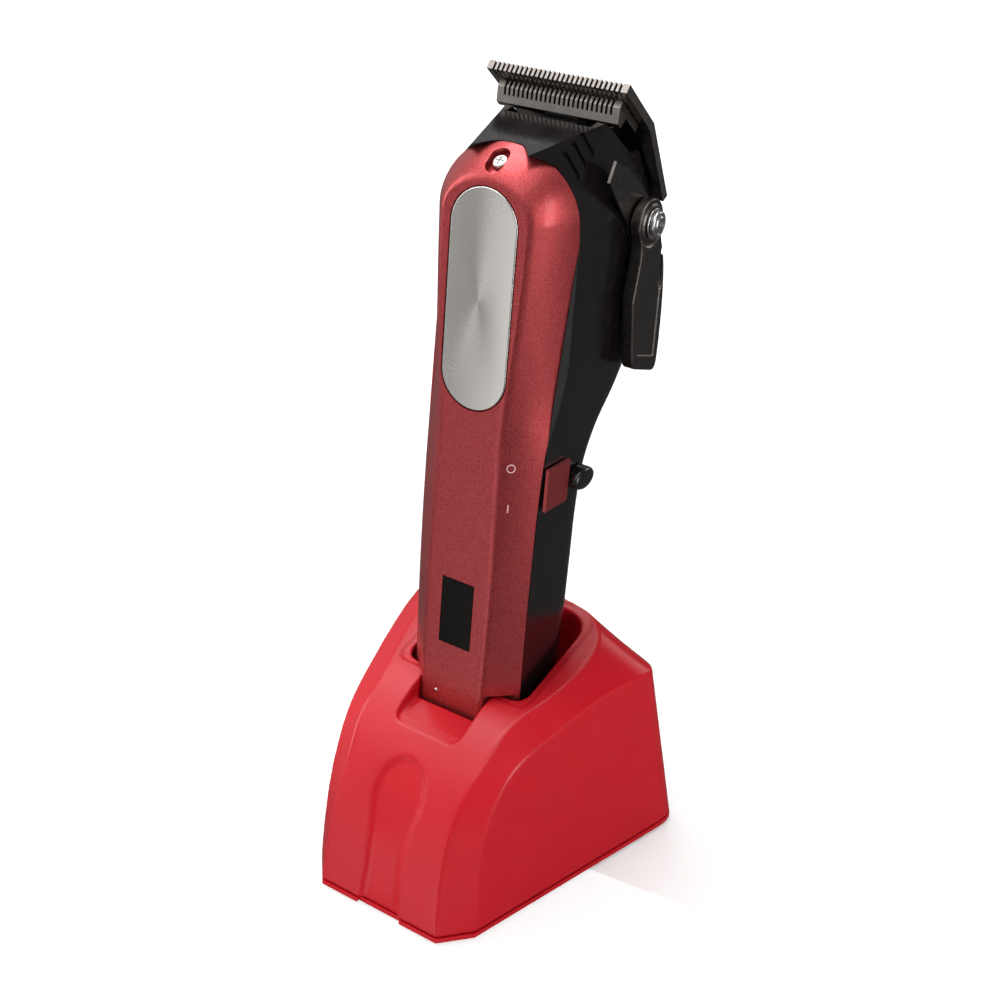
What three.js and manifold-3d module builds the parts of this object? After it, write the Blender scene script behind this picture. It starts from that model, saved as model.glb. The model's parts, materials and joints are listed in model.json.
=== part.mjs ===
// A cordless hair clipper standing in its charging stand.
// Millimetres, +Z up. X runs across the object, Y from the front to the rear.
// The stand is built on a bench: its front edge at y = 0, its underside at z = 0.
// The clipper is built upright on its own axes: the front flat at y = 0, its bottom at z = 0.
import * as THREE from 'three';
import { mergeVertices } from 'three/addons/utils/BufferGeometryUtils.js';
import Module from 'manifold-3d';

const wasm = await Module();
wasm.setup();

// ---- driving dimensions: stand ----
const STAND_DEPTH = 92;
const STAND_FRONT_HALF = 27.5; // half width of the side panels 8 mm behind the front edge
const PANEL_FLARE = 0.262; // the side panels spread by this much per mm to the rear
const PANEL_RAKE = 0.075; // and lean in by this much per mm of height
const REAR_RAKE = 0.17; // the rear wall leans forward by this much per mm of height
const CORNER = 12; // rear corners, in plan
const WALL = 2.4;
const BASE_THICK = 1.4;
const SHADOW_GAP = 0.3;
const FOOT_PROUD = 1.2;
const TOP_SLOPE = 0.252;
const POCKET_HALF = 20;
const POCKET_FRONT = 38.8;
const POCKET_REAR = 75.6;
const POCKET_FLOOR = 42.85;
const NOTCH_HALF = 11;
const NOTCH_FRONT = 20;
const TONGUE_FRONT = 31.6;
const KEYHOLE_DEPTH = 1.0;
const RIM_STEP = 0.4;
const RIM_WIDTH = 2.2;
const PIN_X = 5;
const PIN_Y = 52.1;
const JACK_Z = 11;
const JACK_RADIUS = 4.9;
const GAP = 0.3; // between parts that are fitted together

// ---- driving dimensions: clipper ----
const LEAN = THREE.MathUtils.degToRad(3.23);
const SEAT = [0, 32.15, 45.2]; // bottom edge of the front flat, on the bench
const COVER_WALL = 1.8;
const HOUSING_WALL = 2.2;
const ARCH_CENTRE = 147;
const ARCH_HALF = 20;
const ARCH_RISE = 17;
const FLAT_TOP = 156.5;
const PLATE_HALF = 9.8;
const PLATE_LOW = 97;
const PLATE_HIGH = 154.6;
const WINDOW = [10, 20, 37]; // width, height, middle
const BLADE_TIP = [28.9, 179]; // y and z of the fixed blade's teeth
const TOE = new THREE.Vector2(0.807, -0.593); // along the toothed part of the blades
const HEEL = new THREE.Vector2(0.519, -0.854); // along the rear part of the fixed blade
const TOE_LENGTH = 18.7;
const FIXED_HALF = 20.5;
const CUTTER_HALF = 18;
const FIXED_THICK = 2.4;
const TOOTH_PITCH = 1.36;
const PIVOT = [41.2, 143.6]; // taper lever, y and z
const MOTOR_Y = 31;
const MOTOR_LOW = 98;
const MOTOR_HIGH = 127;
const ECCENTRIC = 1.6;
const HOUSING_SCREWS = [[-9, 14], [9, 14]]; // x and z

// ---- materials ----
const finish = (color, roughness, metalness) => ({ color, roughness, metalness });
const STAND_RED = finish(0xc40a18, 0.35, 0);
const BURGUNDY = finish(0x8c2c38, 0.35, 0.6);
const BLACK = finish(0x101012, 0.3, 0);
const RUBBER = finish(0x1b1b1b, 0.9, 0);
const STEEL = finish(0xb9b6b0, 0.35, 1);
const DARK_METAL = finish(0x4a4744, 0.3, 1);
const BRASS = finish(0xc9a24a, 0.35, 1);
const BOARD = finish(0x1d5a34, 0.6, 0);
const CELL_WRAP = finish(0x2a5d9c, 0.5, 0);
const GLASS = finish(0x050507, 0.08, 0);

const stand = new THREE.Group();
const clipper = new THREE.Group();

function addMesh(group, name, geometry, look) {
  const mesh = new THREE.Mesh(geometry, new THREE.MeshStandardMaterial(look));
  mesh.name = name;
  group.add(mesh);
  return mesh;
}

// ---- solids and booleans ----
function toSolid(geometry) {
  const bare = geometry.index ? geometry.clone() : geometry;
  bare.deleteAttribute('normal');
  bare.deleteAttribute('uv');
  const welded = mergeVertices(bare, 1e-4);
  const vertProperties = new Float32Array(welded.attributes.position.array);
  const triVerts = new Uint32Array(welded.index.array);
  return new wasm.Manifold(new wasm.Mesh({ numProp: 3, vertProperties, triVerts }));
}

function toGeometry(solid) {
  const mesh = solid.getMesh();
  const geometry = new THREE.BufferGeometry();
  geometry.setAttribute('position', new THREE.BufferAttribute(new Float32Array(mesh.vertProperties), 3));
  geometry.setIndex(Array.from(mesh.triVerts));
  geometry.computeVertexNormals();
  return geometry;
}

function box(sx, sy, sz, x, y, z) {
  return toSolid(new THREE.BoxGeometry(sx, sy, sz).translate(x, y, z));
}

// A box given by its lowest and highest corners.
function span(low, high) {
  const size = high.map((value, i) => value - low[i]);
  const middle = high.map((value, i) => (value + low[i]) / 2);
  return box(...size, ...middle);
}

// An upright cylinder that stands on z.
function post(radius, height, x, y, z, sides = 16) {
  const geometry = new THREE.CylinderGeometry(radius, radius, height, sides);
  return toSolid(geometry.rotateX(Math.PI / 2).translate(x, y, z + height / 2));
}

// A cylinder along X or Y that starts at the given point.
function rod(axis, radius, length, x, y, z, sides = 16) {
  const geometry = new THREE.CylinderGeometry(radius, radius, length, sides);
  if (axis === 'x') geometry.rotateZ(-Math.PI / 2).translate(x + length / 2, y, z);
  else geometry.translate(x, y + length / 2, z);
  return toSolid(geometry);
}

// A plan outline pulled up from one height to another.
function prismZ(shape, low, high, segments = 5) {
  const options = { depth: high - low, bevelEnabled: false, curveSegments: segments };
  return toSolid(new THREE.ExtrudeGeometry(shape, options).translate(0, 0, low));
}

// An outline in Y and Z pulled out across X.
function prismX(points, low, high, segments = 5) {
  const shape = Array.isArray(points)
    ? new THREE.Shape(points.map((p) => new THREE.Vector2(...p)))
    : points;
  const options = { depth: high - low, bevelEnabled: false, curveSegments: segments };
  const geometry = new THREE.ExtrudeGeometry(shape, options);
  const toAxes = new THREE.Matrix4().set(0, 0, 1, low, 1, 0, 0, 0, 0, 1, 0, 0, 0, 0, 0, 1);
  return toSolid(geometry.applyMatrix4(toAxes));
}

// An outline in X and Z pulled from one y to another.
function prismY(shape, low, high, segments = 6) {
  const options = { depth: high - low, bevelEnabled: false, curveSegments: segments };
  const geometry = new THREE.ExtrudeGeometry(shape, options);
  return toSolid(geometry.rotateX(Math.PI / 2).translate(0, high, 0));
}

// The flat triangles that close a loop, seen in two axes, wound along the loop or against it.
function capTriangles(loop, start, axes, alongLoop) {
  const outline = loop.map((p) => new THREE.Vector2(p.getComponent(axes[0]), p.getComponent(axes[1])));
  const clockwise = THREE.ShapeUtils.isClockWise(outline);
  const last = loop.length - 1;
  const triangles = THREE.ShapeUtils.triangulateShape(clockwise ? outline.reverse() : outline, []);
  return triangles.flatMap((triangle) => {
    const [a, b, c] = triangle.map((i) => start + (clockwise ? last - i : i));
    return clockwise === alongLoop ? [a, c, b] : [a, b, c];
  });
}

// Closed loops of equal length joined into a skin, with both end loops closed.
function loft(loops, axes) {
  const count = loops[0].length;
  const points = loops.flat();
  const index = capTriangles(loops[0], 0, axes, false);
  index.push(...capTriangles(loops[loops.length - 1], points.length - count, axes, true));
  for (let k = 0; k + 1 < loops.length; k += 1) {
    for (let i = 0; i < count; i += 1) {
      const a = k * count + i;
      const b = k * count + ((i + 1) % count);
      index.push(a, b, b + count, a, b + count, a + count);
    }
  }
  if (enclosed(points, index) < 0) index.reverse();
  const geometry = new THREE.BufferGeometry();
  geometry.setAttribute('position', new THREE.Float32BufferAttribute(points.flatMap((p) => p.toArray()), 3));
  geometry.setIndex(index);
  return toSolid(geometry);
}

// Six times the signed volume inside a skin of triangles.
function enclosed(points, index) {
  let sum = 0;
  for (let i = 0; i < index.length; i += 3) {
    const [a, b, c] = [points[index[i]], points[index[i + 1]], points[index[i + 2]]];
    sum += a.dot(new THREE.Vector3().crossVectors(b, c));
  }
  return sum;
}

const both = (make) => [-1, 1].map(make);
const mirrored = (half) => [...half, ...half.slice().reverse().map(([x, ...rest]) => [-x, ...rest])];
// A line from one side to the other, given from its start to its point on the middle plane.
const around = (half) => mirrored(half.slice(0, -1)).toSpliced(half.length - 1, 0, half[half.length - 1]);
const vectors = (points) => points.map((p) => new THREE.Vector3(...p));

// ---- stand: the outer form, which can be made smaller all round to get walls ----
function profilePoints(inset) {
  const front = new THREE.CubicBezierCurve(
    new THREE.Vector2(0, 0),
    new THREE.Vector2(1.2, 24),
    new THREE.Vector2(9.6, 51.5),
    new THREE.Vector2(36, 58),
  );
  const curve = Array.from({ length: 15 }, (_, i) => {
    const t = i / 14;
    const tangent = front.getTangent(t);
    const point = front.getPoint(t);
    return [point.x + inset * tangent.y, point.y - inset * tangent.x];
  });
  const [slopeY, slopeZ] = curve[curve.length - 1];
  const reach = STAND_DEPTH + 4 - slopeY;
  const foot = inset > 0 ? -6 : 0;
  const topRear = [slopeY + reach, slopeZ + reach * TOP_SLOPE];
  return [[curve[0][0], foot], ...curve, topRear, [STAND_DEPTH + 4, foot]];
}

function panelHalf(y, z, inset) {
  return STAND_FRONT_HALF + PANEL_FLARE * (y - 8) - PANEL_RAKE * z - inset;
}

// Plan outline between the side panels and the rear wall, with round rear corners.
function panelLoop(z, inset) {
  const rear = STAND_DEPTH - REAR_RAKE * z - inset;
  const front = -12;
  const corner = new THREE.QuadraticBezierCurve(
    new THREE.Vector2(panelHalf(rear - CORNER, z, inset), rear - CORNER),
    new THREE.Vector2(panelHalf(rear, z, inset), rear),
    new THREE.Vector2(panelHalf(rear, z, inset) - CORNER, rear),
  );
  const half = [[panelHalf(front, z, inset), front], ...corner.getPoints(6).map((p) => [p.x, p.y])];
  return vectors(mirrored(half).map(([x, y]) => [x, y, z]));
}

// The two creases on each side: where the top strip ends, and where the side panel begins.
const CREASE_TOP = [
  [20.5, 0, -3], [19.4, 2.2, 16], [19, 8.2, 34.5], [20.2, 19.3, 50.1], [24.3, 39.5, 58.9],
  [27.4, 52, 62], [28, 61, 64.3], [25.6, 70.5, 66.7], [18.8, 76.6, 68.2], [10, 78.6, 68.7], [0, 79, 68.8],
];
const CREASE_SIDE = [
  [27.3, 8, -3], [26.3, 9.2, 16], [25.9, 12.7, 32.6], [27.3, 21.8, 46.8], [31.4, 40.9, 54.4],
  [35, 54, 57], [36.8, 64, 58.6], [35.4, 74.5, 60.2], [25, 80.6, 61.4], [12, 81.6, 61.7], [0, 81.7, 61.7],
];
const HEART = new THREE.Vector3(0, 50, 18);

// The wedge outside the band that joins the two creases, all the way round the rear.
function bandCutter(inset) {
  const top = new THREE.CatmullRomCurve3(vectors(around(CREASE_TOP)));
  const side = new THREE.CatmullRomCurve3(vectors(around(CREASE_SIDE)));
  const steps = 44;
  const loops = Array.from({ length: steps + 1 }, (_, i) => {
    const upper = top.getPoint(i / steps);
    const across = side.getPoint(i / steps).sub(upper);
    const away = upper.clone().sub(HEART).setY((upper.y - HEART.y) * 0.7).normalize();
    const sideways = across.clone().normalize();
    const outward = away.clone().addScaledVector(sideways, -away.dot(sideways)).normalize();
    upper.addScaledVector(outward, -inset);
    const inner = upper.clone().addScaledVector(across, -0.25);
    const outer = upper.clone().addScaledVector(across, 3);
    return [inner, outer, upper.clone().addScaledVector(away, 34).addScaledVector(sideways, 8)];
  });
  return loft(loops, [0, 1]);
}

function standForm(inset) {
  const prism = prismX(profilePoints(inset), -60, 60);
  const walls = loft([panelLoop(-10, inset), panelLoop(90, inset)], [0, 1]);
  return prism.intersect(walls).subtract(bandCutter(inset));
}

const standOuter = standForm(0);

// What lies outside the outer surface, down to a small depth under it.
const beyond = (prism, depth) => prism.subtract(standForm(depth));

function pocketShape(grow) {
  const half = POCKET_HALF + grow;
  const front = POCKET_FRONT - grow;
  const rear = POCKET_REAR + grow;
  const shape = new THREE.Shape();
  shape.moveTo(-half + 4.5, front);
  shape.lineTo(half - 4.5, front);
  shape.quadraticCurveTo(half, front, half, front + 5);
  shape.lineTo(half, rear - 9);
  shape.quadraticCurveTo(half, rear, half - 9.5, rear);
  shape.lineTo(-half + 9.5, rear);
  shape.quadraticCurveTo(-half, rear, -half, rear - 9);
  shape.lineTo(-half, front + 5);
  shape.quadraticCurveTo(-half, front, -half + 4.5, front);
  return shape;
}

// The narrow part in front of the pocket, open to the rear.
function frontTab(front, grow, round) {
  const half = NOTCH_HALF + grow;
  const shape = new THREE.Shape();
  shape.moveTo(-half, POCKET_FRONT + 6);
  shape.lineTo(-half, front - grow + round);
  shape.quadraticCurveTo(-half, front - grow, -half + round, front - grow);
  shape.lineTo(half - round, front - grow);
  shape.quadraticCurveTo(half, front - grow, half, front - grow + round);
  shape.lineTo(half, POCKET_FRONT + 6);
  return shape;
}

// Half of the outline of the recess in the front, from the foot up to its round top, in X and Z.
const KEYHOLE = [
  [7.8, -6], [7.2, 4], [6.6, 13.4], [7, 24], [8.4, 33], [8.6, 37.5], [7.2, 42], [3.9, 44.6], [0, 45.4],
];

function keyholeShape() {
  const outline = new THREE.SplineCurve(around(KEYHOLE).map((p) => new THREE.Vector2(...p)));
  return new THREE.Shape(outline.getPoints(40));
}

const BOSSES = [[-15, 10.5, 26], [15, 10.5, 26], [-32, 77, 46], [32, 77, 46]];
const POST_BOTTOM = 5;

function standShell() {
  const well = prismZ(pocketShape(2), POCKET_FLOOR - 2.2, 90)
    .add(prismZ(frontTab(TONGUE_FRONT, 2, 5), POCKET_FLOOR - 2.2, 90))
    .add(prismZ(frontTab(NOTCH_FRONT, 2, 6), 46.5, 90));
  let shell = standOuter.subtract(standForm(WALL)).add(well.intersect(standOuter));
  for (const [x, y, height] of BOSSES) {
    shell = shell.add(post(3.6, height - POST_BOTTOM + 16, x, y, POST_BOTTOM, 12).intersect(standOuter));
  }
  const shelf = prismX([[15, 49.2], [46, 54.3], [46, 90], [15, 90]], -30, 30);
  const cuts = [
    prismZ(pocketShape(0), POCKET_FLOOR, 90),
    prismZ(frontTab(TONGUE_FRONT, 0, 2), POCKET_FLOOR, 90),
    prismZ(frontTab(NOTCH_FRONT, 0, 4.5), 40, 90).intersect(shelf),
    beyond(prismZ(pocketShape(RIM_WIDTH), 40, 90), RIM_STEP),
    beyond(prismY(keyholeShape(), -5, 24), KEYHOLE_DEPTH),
    box(19, 10, 8, 0, PIN_Y, POCKET_FLOOR - 2),
    rod('y', JACK_RADIUS + GAP, 16, 0, STAND_DEPTH - 14, JACK_Z, 20),
    span([-60, -5, -1], [60, STAND_DEPTH + 5, BASE_THICK + SHADOW_GAP]),
  ];
  for (const [x, y] of BOSSES) cuts.push(post(1.4, 10, x, y, 1, 10));
  for (const cut of cuts) shell = shell.subtract(cut);
  addMesh(stand, 'stand_shell', toGeometry(shell), STAND_RED);
}

const FEET = [[-20, 24], [20, 24], [-36, 66], [36, 66]];

function basePlate() {
  let plate = standOuter.intersect(span([-60, -5, 0], [60, STAND_DEPTH + 5, BASE_THICK]));
  const rimHeight = 2.4;
  const rimThick = 1.2;
  const rimRoom = span([-60, -5, BASE_THICK - 0.2], [60, 95, BASE_THICK + rimHeight]);
  const insideRoom = span([-60, -5, BASE_THICK - 1], [60, 95, BASE_THICK + 4]);
  const rim = standForm(WALL + GAP).intersect(rimRoom);
  const inside = standForm(WALL + GAP + rimThick).intersect(insideRoom);
  plate = plate.add(rim.subtract(inside));
  for (const [x, y] of BOSSES) {
    plate = plate.add(post(4.6, 4.4, x, y, 0.2, 12).intersect(standOuter));
    plate = plate.subtract(post(3.2, 3, x, y, -1, 12)).subtract(post(1.7, 9, x, y, -1, 10));
  }
  plate = plate.subtract(beyond(prismY(keyholeShape(), -5, 24), KEYHOLE_DEPTH));
  for (const [x, y] of FEET) plate = plate.subtract(post(4.8, 0.7, x, y, -0.1));
  addMesh(stand, 'base_plate', toGeometry(plate), STAND_RED);
}

function feet() {
  FEET.forEach(([x, y], i) => {
    const profile = [[0, -FOOT_PROUD], [4, -FOOT_PROUD], [4.5, -FOOT_PROUD + 0.5], [4.5, 0.35], [0, 0.35]];
    const turned = new THREE.LatheGeometry(profile.map((p) => new THREE.Vector2(...p)), 16).rotateX(Math.PI / 2);
    const foot = addMesh(stand, `foot_${i + 1}`, toGeometry(toSolid(turned)), RUBBER);
    foot.position.set(x, y, 0);
  });
}

// A pan-head screw with a cross recess. Its head faces +Z and its underside is at z = 0.
function screwSolid(headRadius, headHeight, shankRadius, length) {
  const profile = [
    [0, -length], [shankRadius, -length + shankRadius], [shankRadius, 0], [headRadius, 0],
    [headRadius, headHeight * 0.5], [headRadius * 0.6, headHeight], [0, headHeight],
  ];
  const turned = new THREE.LatheGeometry(profile.map((p) => new THREE.Vector2(...p)), 12).rotateX(Math.PI / 2);
  const slot = headRadius * 1.2;
  return toSolid(turned)
    .subtract(box(slot, 0.5, headHeight, 0, 0, headHeight))
    .subtract(box(0.5, slot, headHeight, 0, 0, headHeight));
}

function baseScrews() {
  BOSSES.forEach(([x, y], i) => {
    const screw = addMesh(stand, `base_screw_${i + 1}`, toGeometry(screwSolid(2.7, 1.3, 1.1, 7.5)), STEEL);
    screw.rotation.x = Math.PI;
    screw.position.set(x, y, 1.7);
  });
}

function stackedPost(sections) {
  const profile = [[0, sections[0][1]]];
  for (const [radius, low, high] of sections) profile.push([radius, low], [radius, high]);
  profile.push([0, sections[sections.length - 1][2]]);
  const points = profile.map((p) => new THREE.Vector2(...p));
  return toSolid(new THREE.LatheGeometry(points, 16).rotateX(Math.PI / 2));
}

function standContacts() {
  const top = POCKET_FLOOR + 0.2;
  let block = box(18.4, 9.4, 3.6, 0, PIN_Y, top - 1.8).add(box(24, 14, 4.6, 0, PIN_Y, POCKET_FLOOR - 4.8));
  for (const side of [-1, 1]) {
    block = block.subtract(post(1.4, 20, side * PIN_X, PIN_Y, top - 10));
    block = block.subtract(post(2.4, 6, side * PIN_X, PIN_Y, top - 8));
  }
  addMesh(stand, 'contact_block', toGeometry(block), BLACK);
  both((side) => {
    const name = side < 0 ? 1 : 2;
    const pin = addMesh(stand, `contact_pin_${name}`, toGeometry(stackedPost([
      [0.7, -6.2, -3.4], [2, -3.4, -2.6], [1.1, -2.6, 0.5], [0.7, 0.5, 0.8],
    ])), BRASS);
    pin.position.set(side * PIN_X, PIN_Y, POCKET_FLOOR);
    const turns = 4;
    const helix = Array.from({ length: turns * 8 + 1 }, (_, i) => {
      const angle = (i / 8) * Math.PI * 2;
      return new THREE.Vector3(1.45 * Math.cos(angle), 1.45 * Math.sin(angle), (i / (turns * 8)) * 3.1);
    });
    const wire = new THREE.Shape(Array.from({ length: 5 }, (_, i) => {
      const angle = (i / 5) * Math.PI * 2;
      return new THREE.Vector2(0.2 * Math.cos(angle), 0.2 * Math.sin(angle));
    }));
    const path = new THREE.CatmullRomCurve3(helix);
    const coil = new THREE.ExtrudeGeometry(wire, { steps: turns * 8, bevelEnabled: false, extrudePath: path });
    const spring = addMesh(stand, `contact_spring_${name}`, toGeometry(toSolid(coil)), STEEL);
    spring.position.set(side * PIN_X, PIN_Y, POCKET_FLOOR - 7);
  });
}

function standBoard() {
  const low = POCKET_FLOOR - 9;
  addMesh(stand, 'stand_board', toGeometry(box(30, 20, 1.4, 0, PIN_Y, low + 0.7)), BOARD);
}

function dcJack() {
  const rear = STAND_DEPTH - REAR_RAKE * JACK_Z - 0.5;
  let jack = rod('y', JACK_RADIUS, 14, 0, rear - 14, JACK_Z, 20).add(box(11, 10, 11, 0, rear - 9.2, JACK_Z));
  jack = jack.subtract(rod('y', 3, 10, 0, rear - 9.5, JACK_Z, 16));
  jack = jack.add(rod('y', 0.9, 9.5, 0, rear - 11, JACK_Z, 8));
  addMesh(stand, 'dc_jack', toGeometry(jack), BLACK);
}

standShell();
basePlate();
feet();
baseScrews();
standContacts();
standBoard();
dcJack();

// ---- clipper: outlines ----
// Height, half width of the front flat, half width and depth of the seam behind the bevel.
const COVER_ROWS = [
  [0, 9.2, 17.6, 8.2], [14, 9.9, 17.8, 8], [45, 10.3, 18, 7.2], [78, 9.6, 18.3, 7.7],
  [90, 9.4, 18.6, 8.8], [100, 10.1, 19.4, 11.6], [110, 11.1, 19.9, 13.2], [125, 12.2, 20.1, 13.9],
  [138, 12.8, 20.1, 13.1], [ARCH_CENTRE, 12.9, ARCH_HALF, 11.8],
];
const SEAM_TOP = 9.4;
const ARCH_STEPS = 7;

// One closed outline of the cover: 'flat' is the edge of its front flat, 'seam' is its rear edge.
function coverLoop(kind, inset, depth) {
  const seam = kind === 'seam';
  const [, flatHalf, seamHalf, seamDepth] = COVER_ROWS[COVER_ROWS.length - 1];
  const half = COVER_ROWS.map(([height, flat, side, back]) => [
    (seam ? side : flat) - inset, depth ?? back, height === 0 ? Math.max(inset, seam ? 0 : 1.2 + inset) : height,
  ]);
  if (inset < 0) half[0][2] = inset * 10;
  for (let i = 1; i <= ARCH_STEPS; i += 1) {
    const angle = (i / ARCH_STEPS) * (Math.PI / 2);
    const rise = (seam ? ARCH_RISE : FLAT_TOP - ARCH_CENTRE) - inset;
    const width = (seam ? seamHalf : flatHalf) - inset;
    const back = seamDepth - (seamDepth - SEAM_TOP) * Math.sin(angle);
    if (i < ARCH_STEPS) half.push([width * Math.cos(angle), depth ?? back, ARCH_CENTRE + rise * Math.sin(angle)]);
    else half.push([0, depth ?? back, ARCH_CENTRE + rise]);
  }
  return vectors([...half, ...half.slice(0, -1).reverse().map(([x, y, z]) => [-x, y, z])]);
}

// Everything in front of the seam, with a little room round it.
const coverRoom = loft([
  coverLoop('seam', -GAP, -6),
  coverLoop('seam', -GAP).map((p) => p.setY(p.y + GAP)),
], [0, 2]);

function stadium(half, low, high) {
  const shape = new THREE.Shape();
  shape.absarc(0, high - half, half, 0, Math.PI);
  shape.absarc(0, low + half, half, Math.PI, Math.PI * 2);
  return shape;
}

function windowShape(grow) {
  const [width, height, middle] = WINDOW;
  const [w, h] = [width / 2 + grow, height / 2 + grow];
  return new THREE.Shape([[-w, -h], [w, -h], [w, h], [-w, h]].map(([x, z]) => new THREE.Vector2(x, middle + z)));
}

// The sloped face above the flat: a point on it and the turn that lays +Z on its normal.
const SLOPE_RISE = ARCH_CENTRE + ARCH_RISE - FLAT_TOP;
const SLOPE_TILT = Math.atan2(SLOPE_RISE, SEAM_TOP);
const SLOPE_SPOT = [0, SEAM_TOP * 0.52, FLAT_TOP + SLOPE_RISE * 0.52];

function onSlope(solid, lift) {
  const turn = new THREE.Matrix4().makeRotationX(SLOPE_TILT);
  const place = new THREE.Matrix4().makeTranslation(...SLOPE_SPOT).multiply(turn);
  place.multiply(new THREE.Matrix4().makeTranslation(0, 0, lift));
  return solid.transform(place.elements.slice());
}

// The lower corners step in, so that the end of the clipper passes the shoulders of the pocket.
function cornerRelief(grow) {
  const [low, high] = both((side) => span(
    [Math.min(10.4 * side - grow * side, 30 * side), -10, -10],
    [Math.max(10.4 * side - grow * side, 30 * side), 7.1 + grow, 14.4 + grow],
  ));
  return low.add(high);
}

function frontCover() {
  const outer = loft([coverLoop('seam', 0), coverLoop('flat', 0, 0)], [0, 2]);
  const inside = loft([
    coverLoop('seam', COVER_WALL + 0.6).map((p) => p.setY(p.y + 4)),
    coverLoop('seam', COVER_WALL + 0.6),
    coverLoop('flat', 0.8, COVER_WALL),
  ], [0, 2]).subtract(cornerRelief(1.4));
  let cover = outer.subtract(inside).subtract(cornerRelief(0));
  const boss = onSlope(post(3.4, 4, 0, 0, -5.2, 14), 0);
  cover = cover.add(boss.intersect(outer));
  cover = cover.subtract(prismY(stadium(PLATE_HALF + 0.25, PLATE_LOW - 0.25, PLATE_HIGH + 0.25), -3, 1.05, 10));
  cover = cover.subtract(prismY(windowShape(0.15), -3, 5));
  cover = cover.subtract(onSlope(post(2.6, 6, 0, 0, -1.4, 14), 0));
  cover = cover.subtract(onSlope(post(1.3, 12, 0, 0, -8, 10), 0));
  addMesh(clipper, 'front_cover', toGeometry(cover), BURGUNDY);
}

function coverTrim() {
  const plate = prismY(stadium(PLATE_HALF, PLATE_LOW, PLATE_HIGH), -0.15, 0.75, 10);
  addMesh(clipper, 'trim_plate', toGeometry(plate), STEEL);
  const glass = prismY(windowShape(0), -0.05, COVER_WALL - 0.3);
  addMesh(clipper, 'display_window', toGeometry(glass), GLASS);
  const [width, height, middle] = WINDOW;
  addMesh(clipper, 'display_module', toGeometry(box(width + 4, 1.4, height + 4, 0, 3, middle)), BLACK);
  addMesh(clipper, 'cover_screw', toGeometry(onSlope(screwSolid(2.1, 1.1, 1, 6), -1.1)), STEEL);
}

// Height, half width and rear of the housing.
const HOUSING_ROWS = [
  [0, 17.6, 36], [45, 18, 36], [66, 18.2, 36], [78, 18.4, 37.4], [88, 18.7, 42], [98, 19.3, 49.5],
  [108, 19.9, 54.5], [122, 20.1, 57], [138, 20.1, 57.5], [ARCH_CENTRE, 19.9, 57.5],
  [155.6, 17.2, 57.5], [170, 15.2, 57.5],
];

function housingLoop([height, side, rear], inset, front) {
  const shoulder = Math.min(rear - inset - 8, 24 + (rear - 36) * 0.9);
  const half = [[0, front], [side - inset, front], [side - inset, shoulder]];
  const [turnStart] = half[2].slice(1);
  const corner = Array.from({ length: 5 }, (_, i) => {
    const angle = ((i + 1) / 6) * (Math.PI / 2);
    const round = (value) => value ** (2 / 2.7);
    return [
      (side - inset) * round(Math.cos(angle)),
      turnStart + (rear - inset - turnStart) * round(Math.sin(angle)),
    ];
  });
  const points = [...half, ...corner, [0, rear - inset]];
  const loop = [...points, ...points.slice(1, -1).reverse().map(([x, y]) => [-x, y])];
  return loop.map(([x, y]) => new THREE.Vector3(x, y, height));
}

const HEAD_FRONT = [28.8, 168.6];

// Side view of the housing with the seats of the blades cut away.
const HEAD_PROFILE = [
  [-6, -2], [-6, 160.4], HEAD_FRONT, [40.1, 160.4], [44.8, 160.4], [53.4, 145.4], [57, 142],
  [62, 141], [62, -2],
];

// The slanted faces beside the head, one on each side.
function roofCutter(side) {
  const slope = [-1.1855 * side, 0.551];
  const at = (x, y) => 155.6 + slope[0] * (x - 17.2 * side) + slope[1] * (y - 10.6);
  const corners = [[2, -4], [36, -4], [36, 66], [2, 66]].map(([x, y]) => [x * side, y]);
  const low = corners.map(([x, y]) => new THREE.Vector3(x, y, at(x, y)));
  const high = corners.map(([x, y]) => new THREE.Vector3(x, y, at(x, y) + 90));
  return loft([low, high], [0, 1]);
}

function housingForm(inset, front) {
  const rows = HOUSING_ROWS.map((row) => [...row]);
  if (inset > 0) rows[0][0] = -1;
  return loft(rows.map((row) => housingLoop(row, inset, front)), [0, 1]);
}

const SWITCH_LOW = 71;
const SWITCH_HIGH = 83;
const SWITCH_TRAVEL = 5;
const SWITCH_STEM = [14, 18, 75, 79]; // y and z of the stem

// Room in the head for the drive, with a slot up to the blades.
function headHollow() {
  const half = 12.5;
  const drive = prismX([[19, 140], [19, 161], [40, 161], [40, 140]], -half, half);
  const slot = span([-half, 25.5, 150], [half, 39.5, 180]);
  const front = span([-14, 8, 138], [14, 16, 150]);
  return drive.add(slot).add(front);
}

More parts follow.
